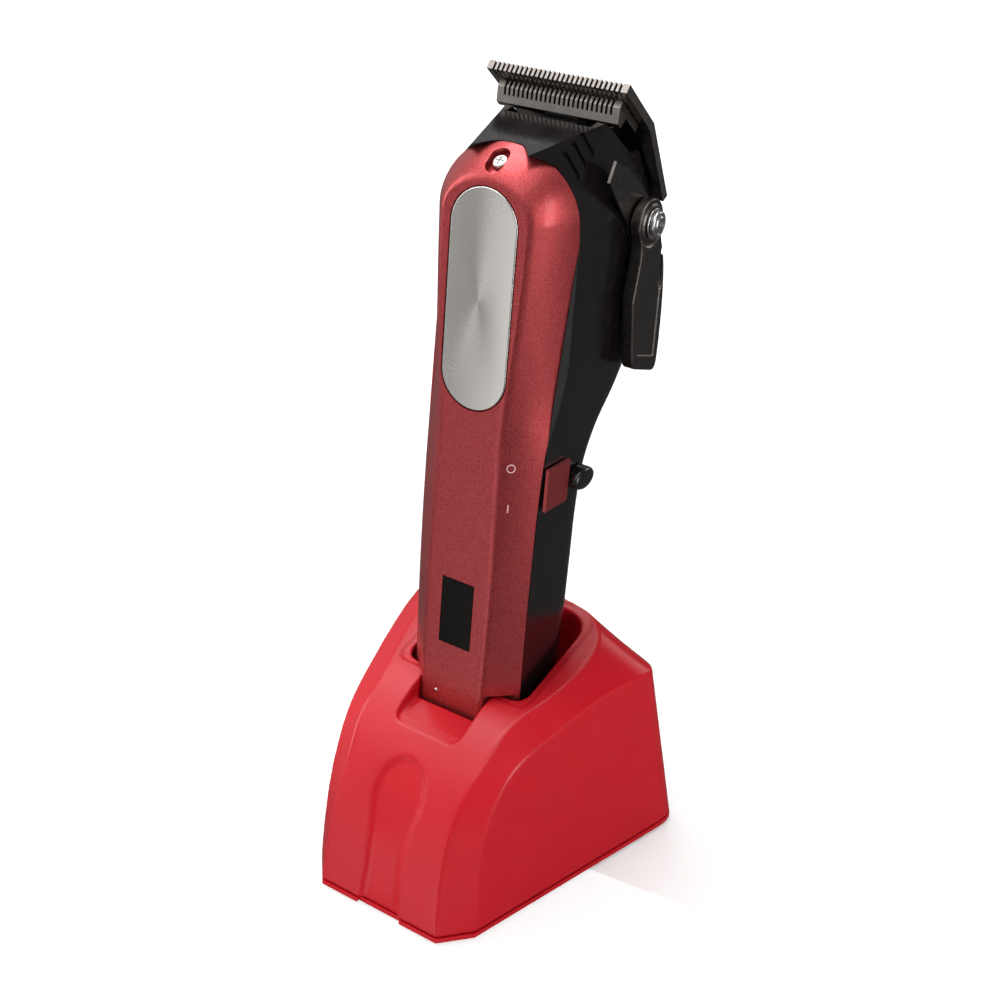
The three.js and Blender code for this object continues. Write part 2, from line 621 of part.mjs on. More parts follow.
function rearHousing() {
  let housing = housingForm(0, 2).intersect(prismX(HEAD_PROFILE, -40, 40));
  for (const side of [-1, 1]) housing = housing.subtract(roofCutter(side));
  housing = housing.subtract(coverRoom);
  housing = housing.subtract(housingForm(HOUSING_WALL, -4).intersect(span([-30, -5, -2], [30, 70, 143])));
  housing = housing.subtract(headHollow());
  const floorHeight = 4.5;
  for (const [x, z] of HOUSING_SCREWS) {
    housing = housing.add(rod('y', 3.4, 8, x, 25.6, z, 12)).subtract(rod('y', 2.6, 6, x, 33.6, z, 12));
    housing = housing.subtract(rod('y', 1.4, 20, x, 20, z, 10));
  }
  const [stemFront, stemRear, stemLow, stemHigh] = SWITCH_STEM;
  const room = 0.5;
  housing = housing.subtract(span(
    [12, stemFront - room, stemLow - SWITCH_TRAVEL - room],
    [24, stemRear + room, stemHigh + room],
  ));
  housing = housing.add(rod('x', 4.4, 5.5, 13.6, ...PIVOT, 14)).subtract(rod('x', 1.9, 30, 6, ...PIVOT, 12));
  housing = housing.subtract(heelSlab(9.8, 1.5, 21, 2.9, 5.8));
  for (const side of [-1, 1]) housing = housing.subtract(heelSlab(2.2, 5, 14.5, 5, 12, side * BLADE_SCREW_X));
  housing = housing.subtract(span([-40, -10, -5], [40, 8, floorHeight]));
  addMesh(clipper, 'rear_housing', toGeometry(housing), BLACK);
}


// ---- clipper: blades. The toothed part lies along TOE, the rear part along HEEL ----
const inward = (along) => new THREE.Vector2(along.y, -along.x);
const BEND = [BLADE_TIP[0] + TOE.x * TOE_LENGTH, BLADE_TIP[1] + TOE.y * TOE_LENGTH];
const HEEL_LENGTH = 23.9;

// A box laid on a blade plane: half width, start and end along it, upper and lower depth, middle.
function bladeSlab(origin, along, half, start, end, upper, lower, middle) {
  const deep = inward(along);
  const corner = (distance, depth) => [
    origin[0] + along.x * distance + deep.x * depth,
    origin[1] + along.y * distance + deep.y * depth,
  ];
  const outline = [corner(start, upper), corner(end, upper), corner(end, lower), corner(start, lower)];
  return prismX(outline.reverse(), middle - half, middle + half);
}

function heelSlab(half, start, end, upper, lower, middle = 0) {
  return bladeSlab(BEND, HEEL, half, start, end, upper, lower, middle);
}

function toeSlab(half, start, end, upper, lower, middle = 0) {
  return bladeSlab(BLADE_TIP, TOE, half, start, end, upper, lower, middle);
}

// The gaps between the teeth, from the tips back to a given distance.
function toothGaps(half, tips, length, upper, lower) {
  const count = Math.floor((2 * half - 2) / TOOTH_PITCH);
  const first = (-(count - 1) / 2) * TOOTH_PITCH;
  const gaps = Array.from({ length: count }, (_, i) => (
    toeSlab(TOOTH_PITCH * 0.24, tips - 2, tips + length, upper, lower, first + i * TOOTH_PITCH)
  ));
  return wasm.Manifold.union(gaps);
}

const BLADE_SCREW_X = 6;
const BLADE_SCREW_AT = 8; // from the bend
const HEEL_TILT = Math.atan2(-HEEL.y, HEEL.x);

// Puts a solid whose axis is +Z on the heel of the blade, pointing out of it.
function onHeel(solid, x, distance, lift) {
  const deep = inward(HEEL);
  const at = [
    x,
    BEND[0] + HEEL.x * distance - deep.x * lift,
    BEND[1] + HEEL.y * distance - deep.y * lift,
  ];
  const place = new THREE.Matrix4().makeTranslation(...at);
  place.multiply(new THREE.Matrix4().makeRotationX(-HEEL_TILT));
  return solid.transform(place.elements.slice());
}

function fixedBlade() {
  const deepToe = inward(TOE);
  const deepHeel = inward(HEEL);
  const turn = new THREE.Vector2().addVectors(deepToe, deepHeel).normalize();
  const miter = FIXED_THICK / turn.dot(deepToe);
  const end = [BEND[0] + HEEL.x * HEEL_LENGTH, BEND[1] + HEEL.y * HEEL_LENGTH];
  const outline = [
    BLADE_TIP, [BLADE_TIP[0] + deepToe.x * FIXED_THICK, BLADE_TIP[1] + deepToe.y * FIXED_THICK],
    [BEND[0] + turn.x * miter, BEND[1] + turn.y * miter],
    [end[0] + deepHeel.x * FIXED_THICK, end[1] + deepHeel.y * FIXED_THICK], end, BEND,
  ];
  let blade = prismX(outline, -FIXED_HALF, FIXED_HALF);
  blade = blade.subtract(toothGaps(FIXED_HALF, 0, 4.6, -2, 4));
  let carrier = heelSlab(9, 3, 19, FIXED_THICK + GAP, 5.2);
  for (const side of [-1, 1]) {
    const hole = onHeel(post(1.6, 14, 0, 0, -10, 12), side * BLADE_SCREW_X, BLADE_SCREW_AT, 0);
    blade = blade.subtract(hole);
    carrier = carrier.subtract(hole);
  }
  addMesh(clipper, 'fixed_blade', toGeometry(blade), STEEL);
  addMesh(clipper, 'blade_carrier', toGeometry(carrier), DARK_METAL);
  both((side) => {
    const screw = onHeel(screwSolid(2.6, 1.2, 1.25, 9), side * BLADE_SCREW_X, BLADE_SCREW_AT, 0.15);
    addMesh(clipper, `blade_screw_${side < 0 ? 1 : 2}`, toGeometry(screw), STEEL);
  });
}

function movingBlade() {
  const deep = inward(TOE);
  const outline = [[4.2, 2.7], [16, 2.7], [16, 4.7], [9, 4.7], [8.2, 7.8], [6.4, 7.8], [4.2, 4.6]];
  const profile = outline.map(([distance, depth]) => [
    BLADE_TIP[0] + TOE.x * distance + deep.x * depth,
    BLADE_TIP[1] + TOE.y * distance + deep.y * depth,
  ]);
  const blade = prismX(profile.reverse(), -CUTTER_HALF, CUTTER_HALF);
  const teeth = toothGaps(CUTTER_HALF, 4.2, 3.4, 1, 6.2);
  addMesh(clipper, 'moving_blade', toGeometry(blade.subtract(teeth)), STEEL);
}

const PIN_RADIUS = 1.25;

function driveYoke() {
  const yoke = span([-5, MOTOR_Y - 1.5, 144], [5, MOTOR_Y + 5.5, 176])
    .intersect(toeSlab(10, 9.5, 60, 5, 60))
    .subtract(span([-PIN_RADIUS - 0.35, 0, 140], [PIN_RADIUS + 0.35, 60, 153]));
  addMesh(clipper, 'drive_yoke', toGeometry(yoke), BLACK);
}

function bentWire(points, radius, steps) {
  const section = new THREE.Shape(Array.from({ length: 6 }, (_, i) => {
    const angle = (i / 6) * Math.PI * 2;
    return new THREE.Vector2(radius * Math.cos(angle), radius * Math.sin(angle));
  }));
  const path = new THREE.CatmullRomCurve3(vectors(points), false, 'centripetal');
  return toSolid(new THREE.ExtrudeGeometry(section, { steps, bevelEnabled: false, extrudePath: path }));
}

function tensionSpring() {
  const y = 27.2;
  const half = [[-9, y, 151], [-9, y, 156], [-8.8, y, 160.5], [-7, y, 162.5]];
  const wire = bentWire(mirrored(half), 0.6, 24);
  addMesh(clipper, 'tension_spring', toGeometry(wire), STEEL);
}

// ---- clipper: motor and what is in the grip ----
function motor() {
  const collar = 3;
  let can = post(11, MOTOR_HIGH - MOTOR_LOW - 0.6, 0, MOTOR_Y, MOTOR_LOW, 20);
  can = can.add(post(collar, 1, 0, MOTOR_Y, MOTOR_HIGH - 1, 12));
  can = can.subtract(post(1.5, 8, 0, MOTOR_Y, MOTOR_HIGH - 6, 10));
  let mount = span([-14, MOTOR_Y - 12, MOTOR_HIGH + 0.3], [14, MOTOR_Y + 12, MOTOR_HIGH + 2.3]);
  mount = mount.subtract(post(4.5, 8, 0, MOTOR_Y, MOTOR_HIGH - 2, 14));
  for (const x of [-8, 8]) {
    can = can.subtract(post(1.2, 8, x, MOTOR_Y, MOTOR_HIGH - 5, 8));
    mount = mount.subtract(post(1.2, 8, x, MOTOR_Y, MOTOR_HIGH - 2, 8));
  }
  addMesh(clipper, 'motor_can', toGeometry(can), STEEL);
  addMesh(clipper, 'motor_mount', toGeometry(mount), BLACK);
  [-8, 8].forEach((x, i) => {
    const screw = addMesh(clipper, `motor_screw_${i + 1}`, toGeometry(screwSolid(1.9, 1, 0.85, 5)), STEEL);
    screw.position.set(x, MOTOR_Y, MOTOR_HIGH + 2.5);
  });
  const eccentricPin = post(PIN_RADIUS, 13, 0, ECCENTRIC, 10, 12);
  const shaft = stackedPost([[1.1, -4, 6.5], [3.6, 6.5, 10.5]]).add(eccentricPin);
  const turned = addMesh(clipper, 'motor_shaft', toGeometry(shaft), STEEL);
  turned.position.set(0, MOTOR_Y, MOTOR_HIGH);
}

function gripParts() {
  const cell = stackedPost([[9, 20, 82.6], [3, 82.6, 84]]).translate([0, 20, 0]);
  addMesh(clipper, 'battery_cell', toGeometry(cell), CELL_WRAP);
  addMesh(clipper, 'control_board', toGeometry(span([-9.5, 4.6, 16], [9.5, 6.2, 92])), BOARD);
  addMesh(clipper, 'slide_switch', toGeometry(span([9.6, 6.5, 66], [12.4, 18.5, 85])), STEEL);
  const row = HOUSING_ROWS[0];
  const capFront = 8.8;
  const capInset = HOUSING_WALL + GAP;
  let cap = loft([[0.2, row[1], row[2]], [3, row[1], row[2]]].map((r) => housingLoop(r, capInset, capFront)), [0, 1]);
  both((side) => {
    cap = cap.subtract(post(2.1, 9, side * PIN_X, 20, -3, 14));
    const name = side < 0 ? 1 : 2;
    const contact = stackedPost([[1.8, -0.1, 1.4], [0.8, 1.4, 6]]);
    addMesh(clipper, `charge_contact_${name}`, toGeometry(contact), BRASS).position.set(side * PIN_X, 20, 0);
  });
  addMesh(clipper, 'end_cap', toGeometry(cap), BLACK);
  HOUSING_SCREWS.forEach(([x, z], i) => {
    const screw = addMesh(clipper, `housing_screw_${i + 1}`, toGeometry(screwSolid(2.1, 1, 1.05, 7)), STEEL);
    screw.rotation.x = -Math.PI / 2;
    screw.position.set(x, 33.9, z);
  });
}

// ---- clipper: controls ----
const SWITCH_FACE = 18.95;

function switchSlider() {
  const [stemFront, stemRear, stemLow, stemHigh] = SWITCH_STEM;
  const tab = span([SWITCH_FACE, 8.7, SWITCH_LOW], [SWITCH_FACE + 0.9, 19.6, SWITCH_HIGH]);
  const stem = span([12.8, stemFront, stemLow], [SWITCH_FACE + 0.2, stemRear, stemHigh]);
  addMesh(clipper, 'switch_slider', toGeometry(tab.add(stem)), BURGUNDY);
  const shape = new THREE.Shape();
  shape.absellipse(25, 76, 4.9, 3.1, 0, Math.PI * 2);
  addMesh(clipper, 'switch_knob', toGeometry(prismX(shape, SWITCH_FACE, 22.4, 10)), BLACK);
}

// Outline of the taper lever from its pivot down to the tip of the paddle, in Y and Z.
function leverShape() {
  const [y, z] = PIVOT;
  const shape = new THREE.Shape();
  shape.absarc(y, z, 6.2, THREE.MathUtils.degToRad(-35), THREE.MathUtils.degToRad(215));
  shape.bezierCurveTo(y - 3.4, z - 7, y - 5, z - 12, y - 6, z - 20);
  shape.lineTo(y - 2.6, z - 37.5);
  shape.quadraticCurveTo(y - 2.2, z - 39.5, y, z - 40);
  shape.lineTo(y + 9, z - 42.5);
  shape.quadraticCurveTo(y + 11.4, z - 43, y + 11.6, z - 40);
  shape.bezierCurveTo(y + 12, z - 30, y + 10.6, z - 16, y + 8.2, z - 10);
  return shape;
}

function taperLever() {
  const inner = 21.6;
  const lever = prismX(leverShape(), inner, inner + 3.4, 8).subtract(rod('x', 1.9, 12, 16, ...PIVOT, 12));
  addMesh(clipper, 'taper_lever', toGeometry(lever), DARK_METAL);
  const arm = new THREE.Shape();
  arm.absarc(...PIVOT, 6.4, THREE.MathUtils.degToRad(-120), THREE.MathUtils.degToRad(60));
  arm.lineTo(31.5, 158.5);
  arm.lineTo(25, 161);
  arm.lineTo(22.5, 156);
  arm.lineTo(34, 144);
  const bracket = prismX(arm, 20.4, 21.2, 8).subtract(rod('x', 1.9, 12, 16, ...PIVOT, 12));
  addMesh(clipper, 'lever_bracket', toGeometry(bracket), DARK_METAL);
  const ring = rod('x', 4, 0.4, inner + 3.6, ...PIVOT, 16).subtract(rod('x', 1.9, 3, inner + 2, ...PIVOT, 12));
  addMesh(clipper, 'lever_washer', toGeometry(ring), STEEL);
  const screw = addMesh(clipper, 'lever_screw', toGeometry(screwSolid(3.4, 1.6, 1.6, 15)), STEEL);
  screw.rotation.y = Math.PI / 2;
  screw.position.set(inner + 4.2, ...PIVOT);
}

rearHousing();
frontCover();
coverTrim();
fixedBlade();
movingBlade();
driveYoke();
tensionSpring();
motor();
gripParts();
switchSlider();
taperLever();
clipper.rotation.x = -LEAN;
clipper.position.set(...SEAT);

// The origin is the middle of the whole object's box, on the surface that the feet stand on.
const whole = new THREE.Group();
whole.add(stand, clipper);
const reach = new THREE.Box3().setFromObject(whole, true);
whole.position.set(0, -(reach.min.y + reach.max.y) / 2, FOOT_PROUD);
export default whole;
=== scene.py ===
"""A cordless hair clipper standing in its charging stand, on a pale studio floor.

Shapes are built in millimetres. The stand is built on a bench, with its front edge at y = 0 and its
underside at z = 0. The clipper is built upright on its own axes: u across, v back from its front flat,
w up. BENCH and CLIPPER carry both into the shared frame, in metres.
"""

import json
import math

import bmesh
import bpy
import numpy as np
from mathutils import Matrix, Vector


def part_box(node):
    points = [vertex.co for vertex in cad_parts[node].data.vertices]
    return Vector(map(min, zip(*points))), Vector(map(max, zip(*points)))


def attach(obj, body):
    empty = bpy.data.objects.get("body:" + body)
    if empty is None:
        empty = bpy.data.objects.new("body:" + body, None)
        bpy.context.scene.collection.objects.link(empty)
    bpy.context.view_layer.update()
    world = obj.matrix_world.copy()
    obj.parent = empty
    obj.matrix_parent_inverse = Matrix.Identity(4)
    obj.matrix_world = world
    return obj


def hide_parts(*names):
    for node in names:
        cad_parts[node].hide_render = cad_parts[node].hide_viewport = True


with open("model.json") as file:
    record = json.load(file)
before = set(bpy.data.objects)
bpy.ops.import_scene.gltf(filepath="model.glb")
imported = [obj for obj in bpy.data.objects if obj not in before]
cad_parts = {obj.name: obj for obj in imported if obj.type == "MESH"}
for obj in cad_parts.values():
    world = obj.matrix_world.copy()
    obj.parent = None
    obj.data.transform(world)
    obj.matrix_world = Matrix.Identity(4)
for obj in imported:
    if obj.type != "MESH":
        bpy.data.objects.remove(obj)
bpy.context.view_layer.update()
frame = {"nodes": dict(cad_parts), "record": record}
NODES = frame["nodes"]

MM = 0.001
LEAN = math.radians(3.23)  # the clipper leans back
SEAT = Vector((0, 32.15, 45.2))  # bottom edge of its front flat, on the bench

plate_low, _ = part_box("base_plate")
BENCH = Matrix.Translation((0, plate_low[1], plate_low[2])) @ Matrix.Scale(MM, 4)
CLIPPER = BENCH @ Matrix.Translation(SEAT) @ Matrix.Rotation(-LEAN, 4, "X")
MIDDLE = Vector((0, 0, 0.1))  # where the lamps point, in metres


# ---- camera and light -------------------------------------------------------------------------
def add_camera():
    yaw, pitch, roll = math.radians(32.6), math.radians(27.5), 0.047
    forward = Vector((-math.sin(yaw) * math.cos(pitch), math.cos(yaw) * math.cos(pitch), -math.sin(pitch)))
    level = forward.cross(Vector((0, 0, 1))).normalized()
    above = level.cross(forward)
    right = level * math.cos(roll) + above * math.sin(roll)
    up = above * math.cos(roll) - level * math.sin(roll)
    lens = bpy.data.cameras.new("camera")
    lens.sensor_width = 36
    lens.lens = 54.0
    lens.clip_start = 0.01
    camera = bpy.data.objects.new("camera", lens)
    place = Matrix((right, up, -forward)).transposed().to_4x4()
    place.translation = BENCH @ Vector((193.4, -251.3, 298.7))
    camera.matrix_world = place
    bpy.context.scene.collection.objects.link(camera)
    bpy.context.scene.camera = camera


def add_box_light(name, place, watts, size):
    """A soft rectangular lamp that faces the middle of the object."""
    light = bpy.data.lights.new(name, "AREA")
    light.energy = watts
    light.shape = "RECTANGLE"
    light.size, light.size_y = size
    lamp = bpy.data.objects.new(name, light)
    lamp.location = place
    lamp.rotation_euler = (MIDDLE - Vector(place)).to_track_quat("-Z", "Y").to_euler()
    bpy.context.scene.collection.objects.link(lamp)


def add_studio():
    """A soft room: brightest above on the left, with a card low in front and one on the right."""
    world = bpy.data.worlds.new("studio")
    world.use_nodes = True
    tree = world.node_tree
    direction = tree.nodes.new("ShaderNodeTexCoord").outputs["Generated"]
    dim = 0.03
    total = None
    for target, start, end, strength in (
        ((-0.6, -0.3, 0.74), -0.1, 1.0, 0.7),
        ((-0.2, -0.88, -0.42), 0.93, 0.985, 1.0),
        ((0.95, -0.25, 0.1), 0.6, 1.0, 0.5),
    ):
        facing = tree.nodes.new("ShaderNodeVectorMath")
        facing.operation = "DOT_PRODUCT"
        facing.inputs[1].default_value = Vector(target).normalized()
        tree.links.new(direction, facing.inputs[0])
        ramp = tree.nodes.new("ShaderNodeMapRange")
        ramp.interpolation_type = "SMOOTHSTEP"
        limits = {"From Min": start, "From Max": end, "To Min": dim, "To Max": strength}
        for socket, value in limits.items():
            ramp.inputs[socket].default_value = value
        tree.links.new(facing.outputs["Value"], ramp.inputs["Value"])
        if total is None:
            total = ramp.outputs["Result"]
        else:
            add = tree.nodes.new("ShaderNodeMath")
            tree.links.new(total, add.inputs[0])
            tree.links.new(ramp.outputs["Result"], add.inputs[1])
            total = add.outputs[0]
    background = tree.nodes["Background"]
    background.inputs["Color"].default_value = (1, 1, 1, 1)
    tree.links.new(total, background.inputs["Strength"])
    bpy.context.scene.world = world
    bpy.context.scene.view_settings.view_transform = "Standard"
    add_box_light("top_box", (-0.25, 0.1, 0.95), 5.0, (0.6, 0.6))
    add_box_light("left_box", (-0.8, -0.35, 0.4), 2.4, (0.3, 0.8))
    add_box_light("right_box", (0.9, -0.2, 0.35), 3.0, (0.2, 0.8))
    add_box_light("rear_box", (0.35, 0.85, 0.45), 0.8, (0.4, 0.4))
    sun = bpy.data.lights.new("sky_panel", "SUN")
    sun.energy, sun.angle = 1.0, math.radians(70)
    lamp = bpy.data.objects.new("sky_panel", sun)
    lamp.rotation_euler = (math.radians(18), math.radians(-12), 0)
    bpy.context.scene.collection.objects.link(lamp)


# ---- meshes and booleans ----------------------------------------------------------------------
def make_object(name, points, faces):
    mesh = bpy.data.meshes.new(name)
    mesh.from_pydata([tuple(map(float, p)) for p in points], [], faces)
    shape = bmesh.new()
    shape.from_mesh(mesh)
    bmesh.ops.recalc_face_normals(shape, faces=shape.faces)
    shape.to_mesh(mesh)
    shape.free()
    obj = bpy.data.objects.new(name, mesh)
    bpy.context.scene.collection.objects.link(obj)
    return obj


def remove(*objects):
    for obj in objects:
        mesh = obj.data
        bpy.data.objects.remove(obj)
        if mesh.users == 0:
            bpy.data.meshes.remove(mesh)


def apply_modifiers(obj):
    graph = bpy.context.evaluated_depsgraph_get()
    mesh = bpy.data.meshes.new_from_object(obj.evaluated_get(graph))
    obj.modifiers.clear()
    old = obj.data
    obj.data = mesh
    bpy.data.meshes.remove(old)
    return obj


def boolean(obj, others, operation):
    for other in others:
        step = obj.modifiers.new("cut", "BOOLEAN")
        step.operation, step.solver, step.object = operation, "MANIFOLD", other
    apply_modifiers(obj)
    remove(*others)
    return obj


def subtract(obj, *others):
    return boolean(obj, others, "DIFFERENCE")


def join(obj, *others):
    return boolean(obj, others, "UNION")


def intersect(obj, *others):
    return boolean(obj, others, "INTERSECT")


def loft(loops):
    """Closed loops of equal length joined into a skin, with both end loops closed."""
    count = len(loops[0])
    faces = [list(range(count)), list(range((len(loops) - 1) * count, len(loops) * count))]
    for k in range(len(loops) - 1):
        for i in range(count):
            a, b = k * count + i, k * count + (i + 1) % count
            faces.append([a, b, b + count, a + count])
    return make_object("solid", np.concatenate([np.asarray(loop, float) for loop in loops]), faces)


def prism(axis, outline, low, high):
    """An outline in the other two axes, in their own order, pulled out along one axis."""
    outline = np.asarray(outline, float)
    spot = "xyz".index(axis)
    return loft([np.insert(outline, spot, value, axis=1) for value in (low, high)])


def block(low, high):
    (x0, y0, z0), (x1, y1, z1) = low, high
    return prism("z", [(x0, y0), (x1, y0), (x1, y1), (x0, y1)], z0, z1)


def circle(radius, x=0.0, y=0.0, sides=48):
    angle = np.linspace(0, 2 * np.pi, sides, endpoint=False)
    return np.stack([x + radius * np.cos(angle), y + radius * np.sin(angle)], 1)


def post(radius, x, y, low, high):
    return prism("z", circle(radius, x, y), low, high)


def turned(name, profile, sides=64):
    """A solid turned about Z from (radius, height) pairs that begin and end on the axis."""
    angle = np.linspace(0, 2 * np.pi, sides, endpoint=False)
    rings = [(r, z) for r, z in profile if r > 0]
    points = [(r * math.cos(a), r * math.sin(a), z) for r, z in rings for a in angle]
    faces = []
    for k in range(len(rings) - 1):
        for i in range(sides):
            a, b = k * sides + i, k * sides + (i + 1) % sides
            faces.append([a, b, b + sides, a + sides])
    first, last = len(points), len(points) + 1
    points += [(0, 0, profile[0][1]), (0, 0, profile[-1][1])]
    top = (len(rings) - 1) * sides
    for i in range(sides):
        faces.append([first, i, (i + 1) % sides])
        faces.append([last, top + i, top + (i + 1) % sides])
    return make_object(name, points, faces)


def catmull(points, spans, power=0.5):
    """A Catmull-Rom curve through the points: centripetal at power 0.5, uniform at power 0."""
    points = np.asarray(points, float)
    ends = [2 * points[0] - points[1]], [2 * points[-1] - points[-2]]
    if power == 0:
        ends = [points[0]], [points[-1]]
    knots = np.concatenate([ends[0], points, ends[1]])
    out = []
    for a, b, c, d in zip(knots, knots[1:], knots[2:], knots[3:]):
        da, db, dc = (max(np.linalg.norm(q - p), 1e-6) ** power for p, q in ((a, b), (b, c), (c, d)))
        start = ((b - a) / da - (c - a) / (da + db) + (c - b) / db) * db
        end = ((c - b) / db - (d - b) / (db + dc) + (d - c) / dc) * db
        for t in np.arange(spans) / spans:
            square, cube = 3 * (c - b) - 2 * start - end, 2 * (b - c) + start + end
            out.append(b + start * t + square * t**2 + cube * t**3)
    out.append(points[-1])
    return np.array(out)


def quadratic(a, b, c, count=12):
    t = np.linspace(0, 1, count)[:, None]
    a, b, c = (np.array(p, float) for p in (a, b, c))
    return (1 - t) ** 2 * a + 2 * t * (1 - t) * b + t**2 * c


def mirrored(half):
    half = [tuple(p) for p in half]
    return half + [(-p[0], *p[1:]) for p in reversed(half)]


def moulded(obj, name, voxel, rounds):
    """The solid as it comes out of a mould: even skin, every edge a little rounded."""
    obj.name = name
    remesh = obj.modifiers.new("skin", "REMESH")
    remesh.mode, remesh.voxel_size = "VOXEL", voxel
    smooth = obj.modifiers.new("round", "SMOOTH")
    smooth.factor, smooth.iterations = 0.5, rounds
    return apply_modifiers(obj)


def finish_piece(obj, place, body, look, *nodes):
    obj.data.transform(place)
    for face in obj.data.polygons:
        face.use_smooth = True
    obj.data.materials.clear()
    obj.data.materials.append(LOOKS[look])
    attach(obj, body)
    if nodes:
        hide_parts(*nodes)
    return obj


def soften(obj, width, angle=30):
    """Small rounded edges on a hard solid, with flat faces left flat."""
    bevel = obj.modifiers.new("edge", "BEVEL")
    bevel.width, bevel.segments, bevel.limit_method = width, 2, "ANGLE"
    bevel.angle_limit = math.radians(angle)
    bevel.harden_normals = False
    normal = obj.modifiers.new("normals", "WEIGHTED_NORMAL")
    normal.keep_sharp = False


# ---- materials --------------------------------------------------------------------------------
LOOKS = {}


class Look:
    """A Principled material with its texture nodes, in metres on the object's own axes."""

    def __init__(self, slot, colour, roughness, metallic=0.0, coat=0.0, specular=0.5):
        self.material = bpy.data.materials.new(slot)
        self.material.use_nodes = True
        self.nodes = self.material.node_tree.nodes
        self.links = self.material.node_tree.links
        self.shader = self.nodes["Principled BSDF"]
        self.shader.inputs["Base Color"].default_value = (*colour, 1)
        self.shader.inputs["Roughness"].default_value = roughness
        self.shader.inputs["Metallic"].default_value = metallic
        self.shader.inputs["Coat Weight"].default_value = coat
        self.shader.inputs["Coat Roughness"].default_value = 0.08
        self.shader.inputs["Specular IOR Level"].default_value = specular
        self.colour, self.roughness = colour, roughness
        self.place = self.add("ShaderNodeTexCoord").outputs["Object"]
        LOOKS[slot] = self.material

    def add(self, kind, **values):
        node = self.nodes.new(kind)
        for key, value in values.items():
            setattr(node, key, value)
        return node

    def link(self, source, node, socket):
        self.links.new(source, node.inputs[socket])

    def noise(self, size_mm, detail=3.0, stretch=None, place=None):
        """Noise whose lumps are about size_mm across; stretch makes them longer along an axis."""
        node = self.add("ShaderNodeTexNoise")
        node.inputs["Scale"].default_value = 1 / (size_mm * MM)
        node.inputs["Detail"].default_value = detail
        source = place or self.place
        if stretch:
            mapping = self.add("ShaderNodeMapping")
            mapping.inputs["Scale"].default_value = stretch
            self.link(source, mapping, "Vector")
            source = mapping.outputs["Vector"]
        self.link(source, node, "Vector")
        return node.outputs["Fac"]

    def spread(self, source, low, high, start=0.3, end=0.7):
        node = self.add("ShaderNodeMapRange")
        for socket, value in (("From Min", start), ("From Max", end), ("To Min", low), ("To Max", high)):
            node.inputs[socket].default_value = value
        self.link(source, node, "Value")
        return node.outputs["Result"]

    def blend(self, amount, first, second):
        """first where amount is 0 and second where it is 1; either is a number or a socket."""
        node = self.add("ShaderNodeMix")
        self.link(amount, node, 0)
        for socket, value in ((2, first), (3, second)):
            if isinstance(value, (int, float)):
                node.inputs[socket].default_value = value
            else:
                self.link(value, node, socket)
        return node.outputs[0]

    def vary_colour(self, source, amount, tint=None):
        """The colour a little darker and lighter, or towards a tint, where source says."""
        ramp = self.add("ShaderNodeValToRGB")
        low, high = ramp.color_ramp.elements
        low.position, high.position = 0.3, 0.7
        low.color = (*[c * (1 - amount) for c in self.colour], 1)
        high.color = (*(tint or [min(1, c * (1 + amount)) for c in self.colour]), 1)
        self.link(source, ramp, "Fac")
        self.link(ramp.outputs["Color"], self.shader, "Base Color")

    def vary_roughness(self, source, amount):
        spread = self.spread(source, self.roughness - amount, self.roughness + amount)
        self.link(spread, self.shader, "Roughness")

    def bump(self, source, height_mm, strength=1.0):
        node = self.add("ShaderNodeBump")
        node.inputs["Strength"].default_value = strength
        node.inputs["Distance"].default_value = height_mm * MM
        self.link(source, node, "Height")
        previous = self.shader.inputs["Normal"]
        if previous.is_linked:
            self.link(previous.links[0].from_socket, node, "Normal")
        self.link(node.outputs["Normal"], self.shader, "Normal")
        return node


def plastic(slot, colour, roughness, grain_mm=0.3, height_mm=0.01, coat=0.0, tone=0.06):
    look = Look(slot, colour, roughness, coat=coat)
    look.vary_colour(look.noise(9, 4), tone)
    look.vary_roughness(look.noise(6, 4), min(0.04, roughness * 0.3))
    look.bump(look.noise(grain_mm, 2), height_mm, 0.4)
    return look


def metal(slot, colour, roughness, streaks=(1, 1, 1), height_mm=0.004, tone=0.12):
    look = Look(slot, colour, roughness, metallic=1.0)
    look.vary_colour(look.noise(3, 5), tone)
    look.vary_roughness(look.noise(2.5, 4), roughness * 0.15)
    look.bump(look.noise(0.35, 3, streaks), height_mm, 0.25)
    return look


def stand_red():
    """Fine spark-eroded grain on the front and top strip; the other faces are smooth and glossier."""
    look = Look("stand_red", (0.49, 0.006, 0.014), 0.3, specular=0.38)
    grain = look.add("ShaderNodeAttribute", attribute_name="grain").outputs["Fac"]
    fine = look.noise(0.34, 2)
    look.vary_colour(look.noise(14, 4), 0.035)
    satin = look.spread(look.noise(7, 3), 0.37, 0.43)
    smooth = look.spread(look.noise(9, 3), 0.2, 0.26)
    look.link(look.blend(grain, smooth, satin), look.shader, "Roughness")
    height = look.blend(grain, 0.5, fine)
    look.bump(height, 0.045, 0.75)
    look.bump(look.noise(16, 1), 0.03, 0.25)


def burgundy():
    """Metallic paint under a thin coat: fine flakes over a wine red."""
    look = Look("burgundy", (0.37, 0.034, 0.036), 0.38, metallic=0.8, coat=0.2)
    flakes = look.add("ShaderNodeTexVoronoi")
    flakes.inputs["Scale"].default_value = 1 / (0.14 * MM)
    look.link(look.place, flakes, "Vector")
    glint = look.add("ShaderNodeSeparateColor")
    look.link(flakes.outputs["Color"], glint, "Color")
    look.vary_colour(glint.outputs[0], 0.13, (0.5, 0.075, 0.08))
    look.vary_roughness(look.noise(5, 4), 0.04)
    look.bump(glint.outputs[1], 0.006, 0.35)


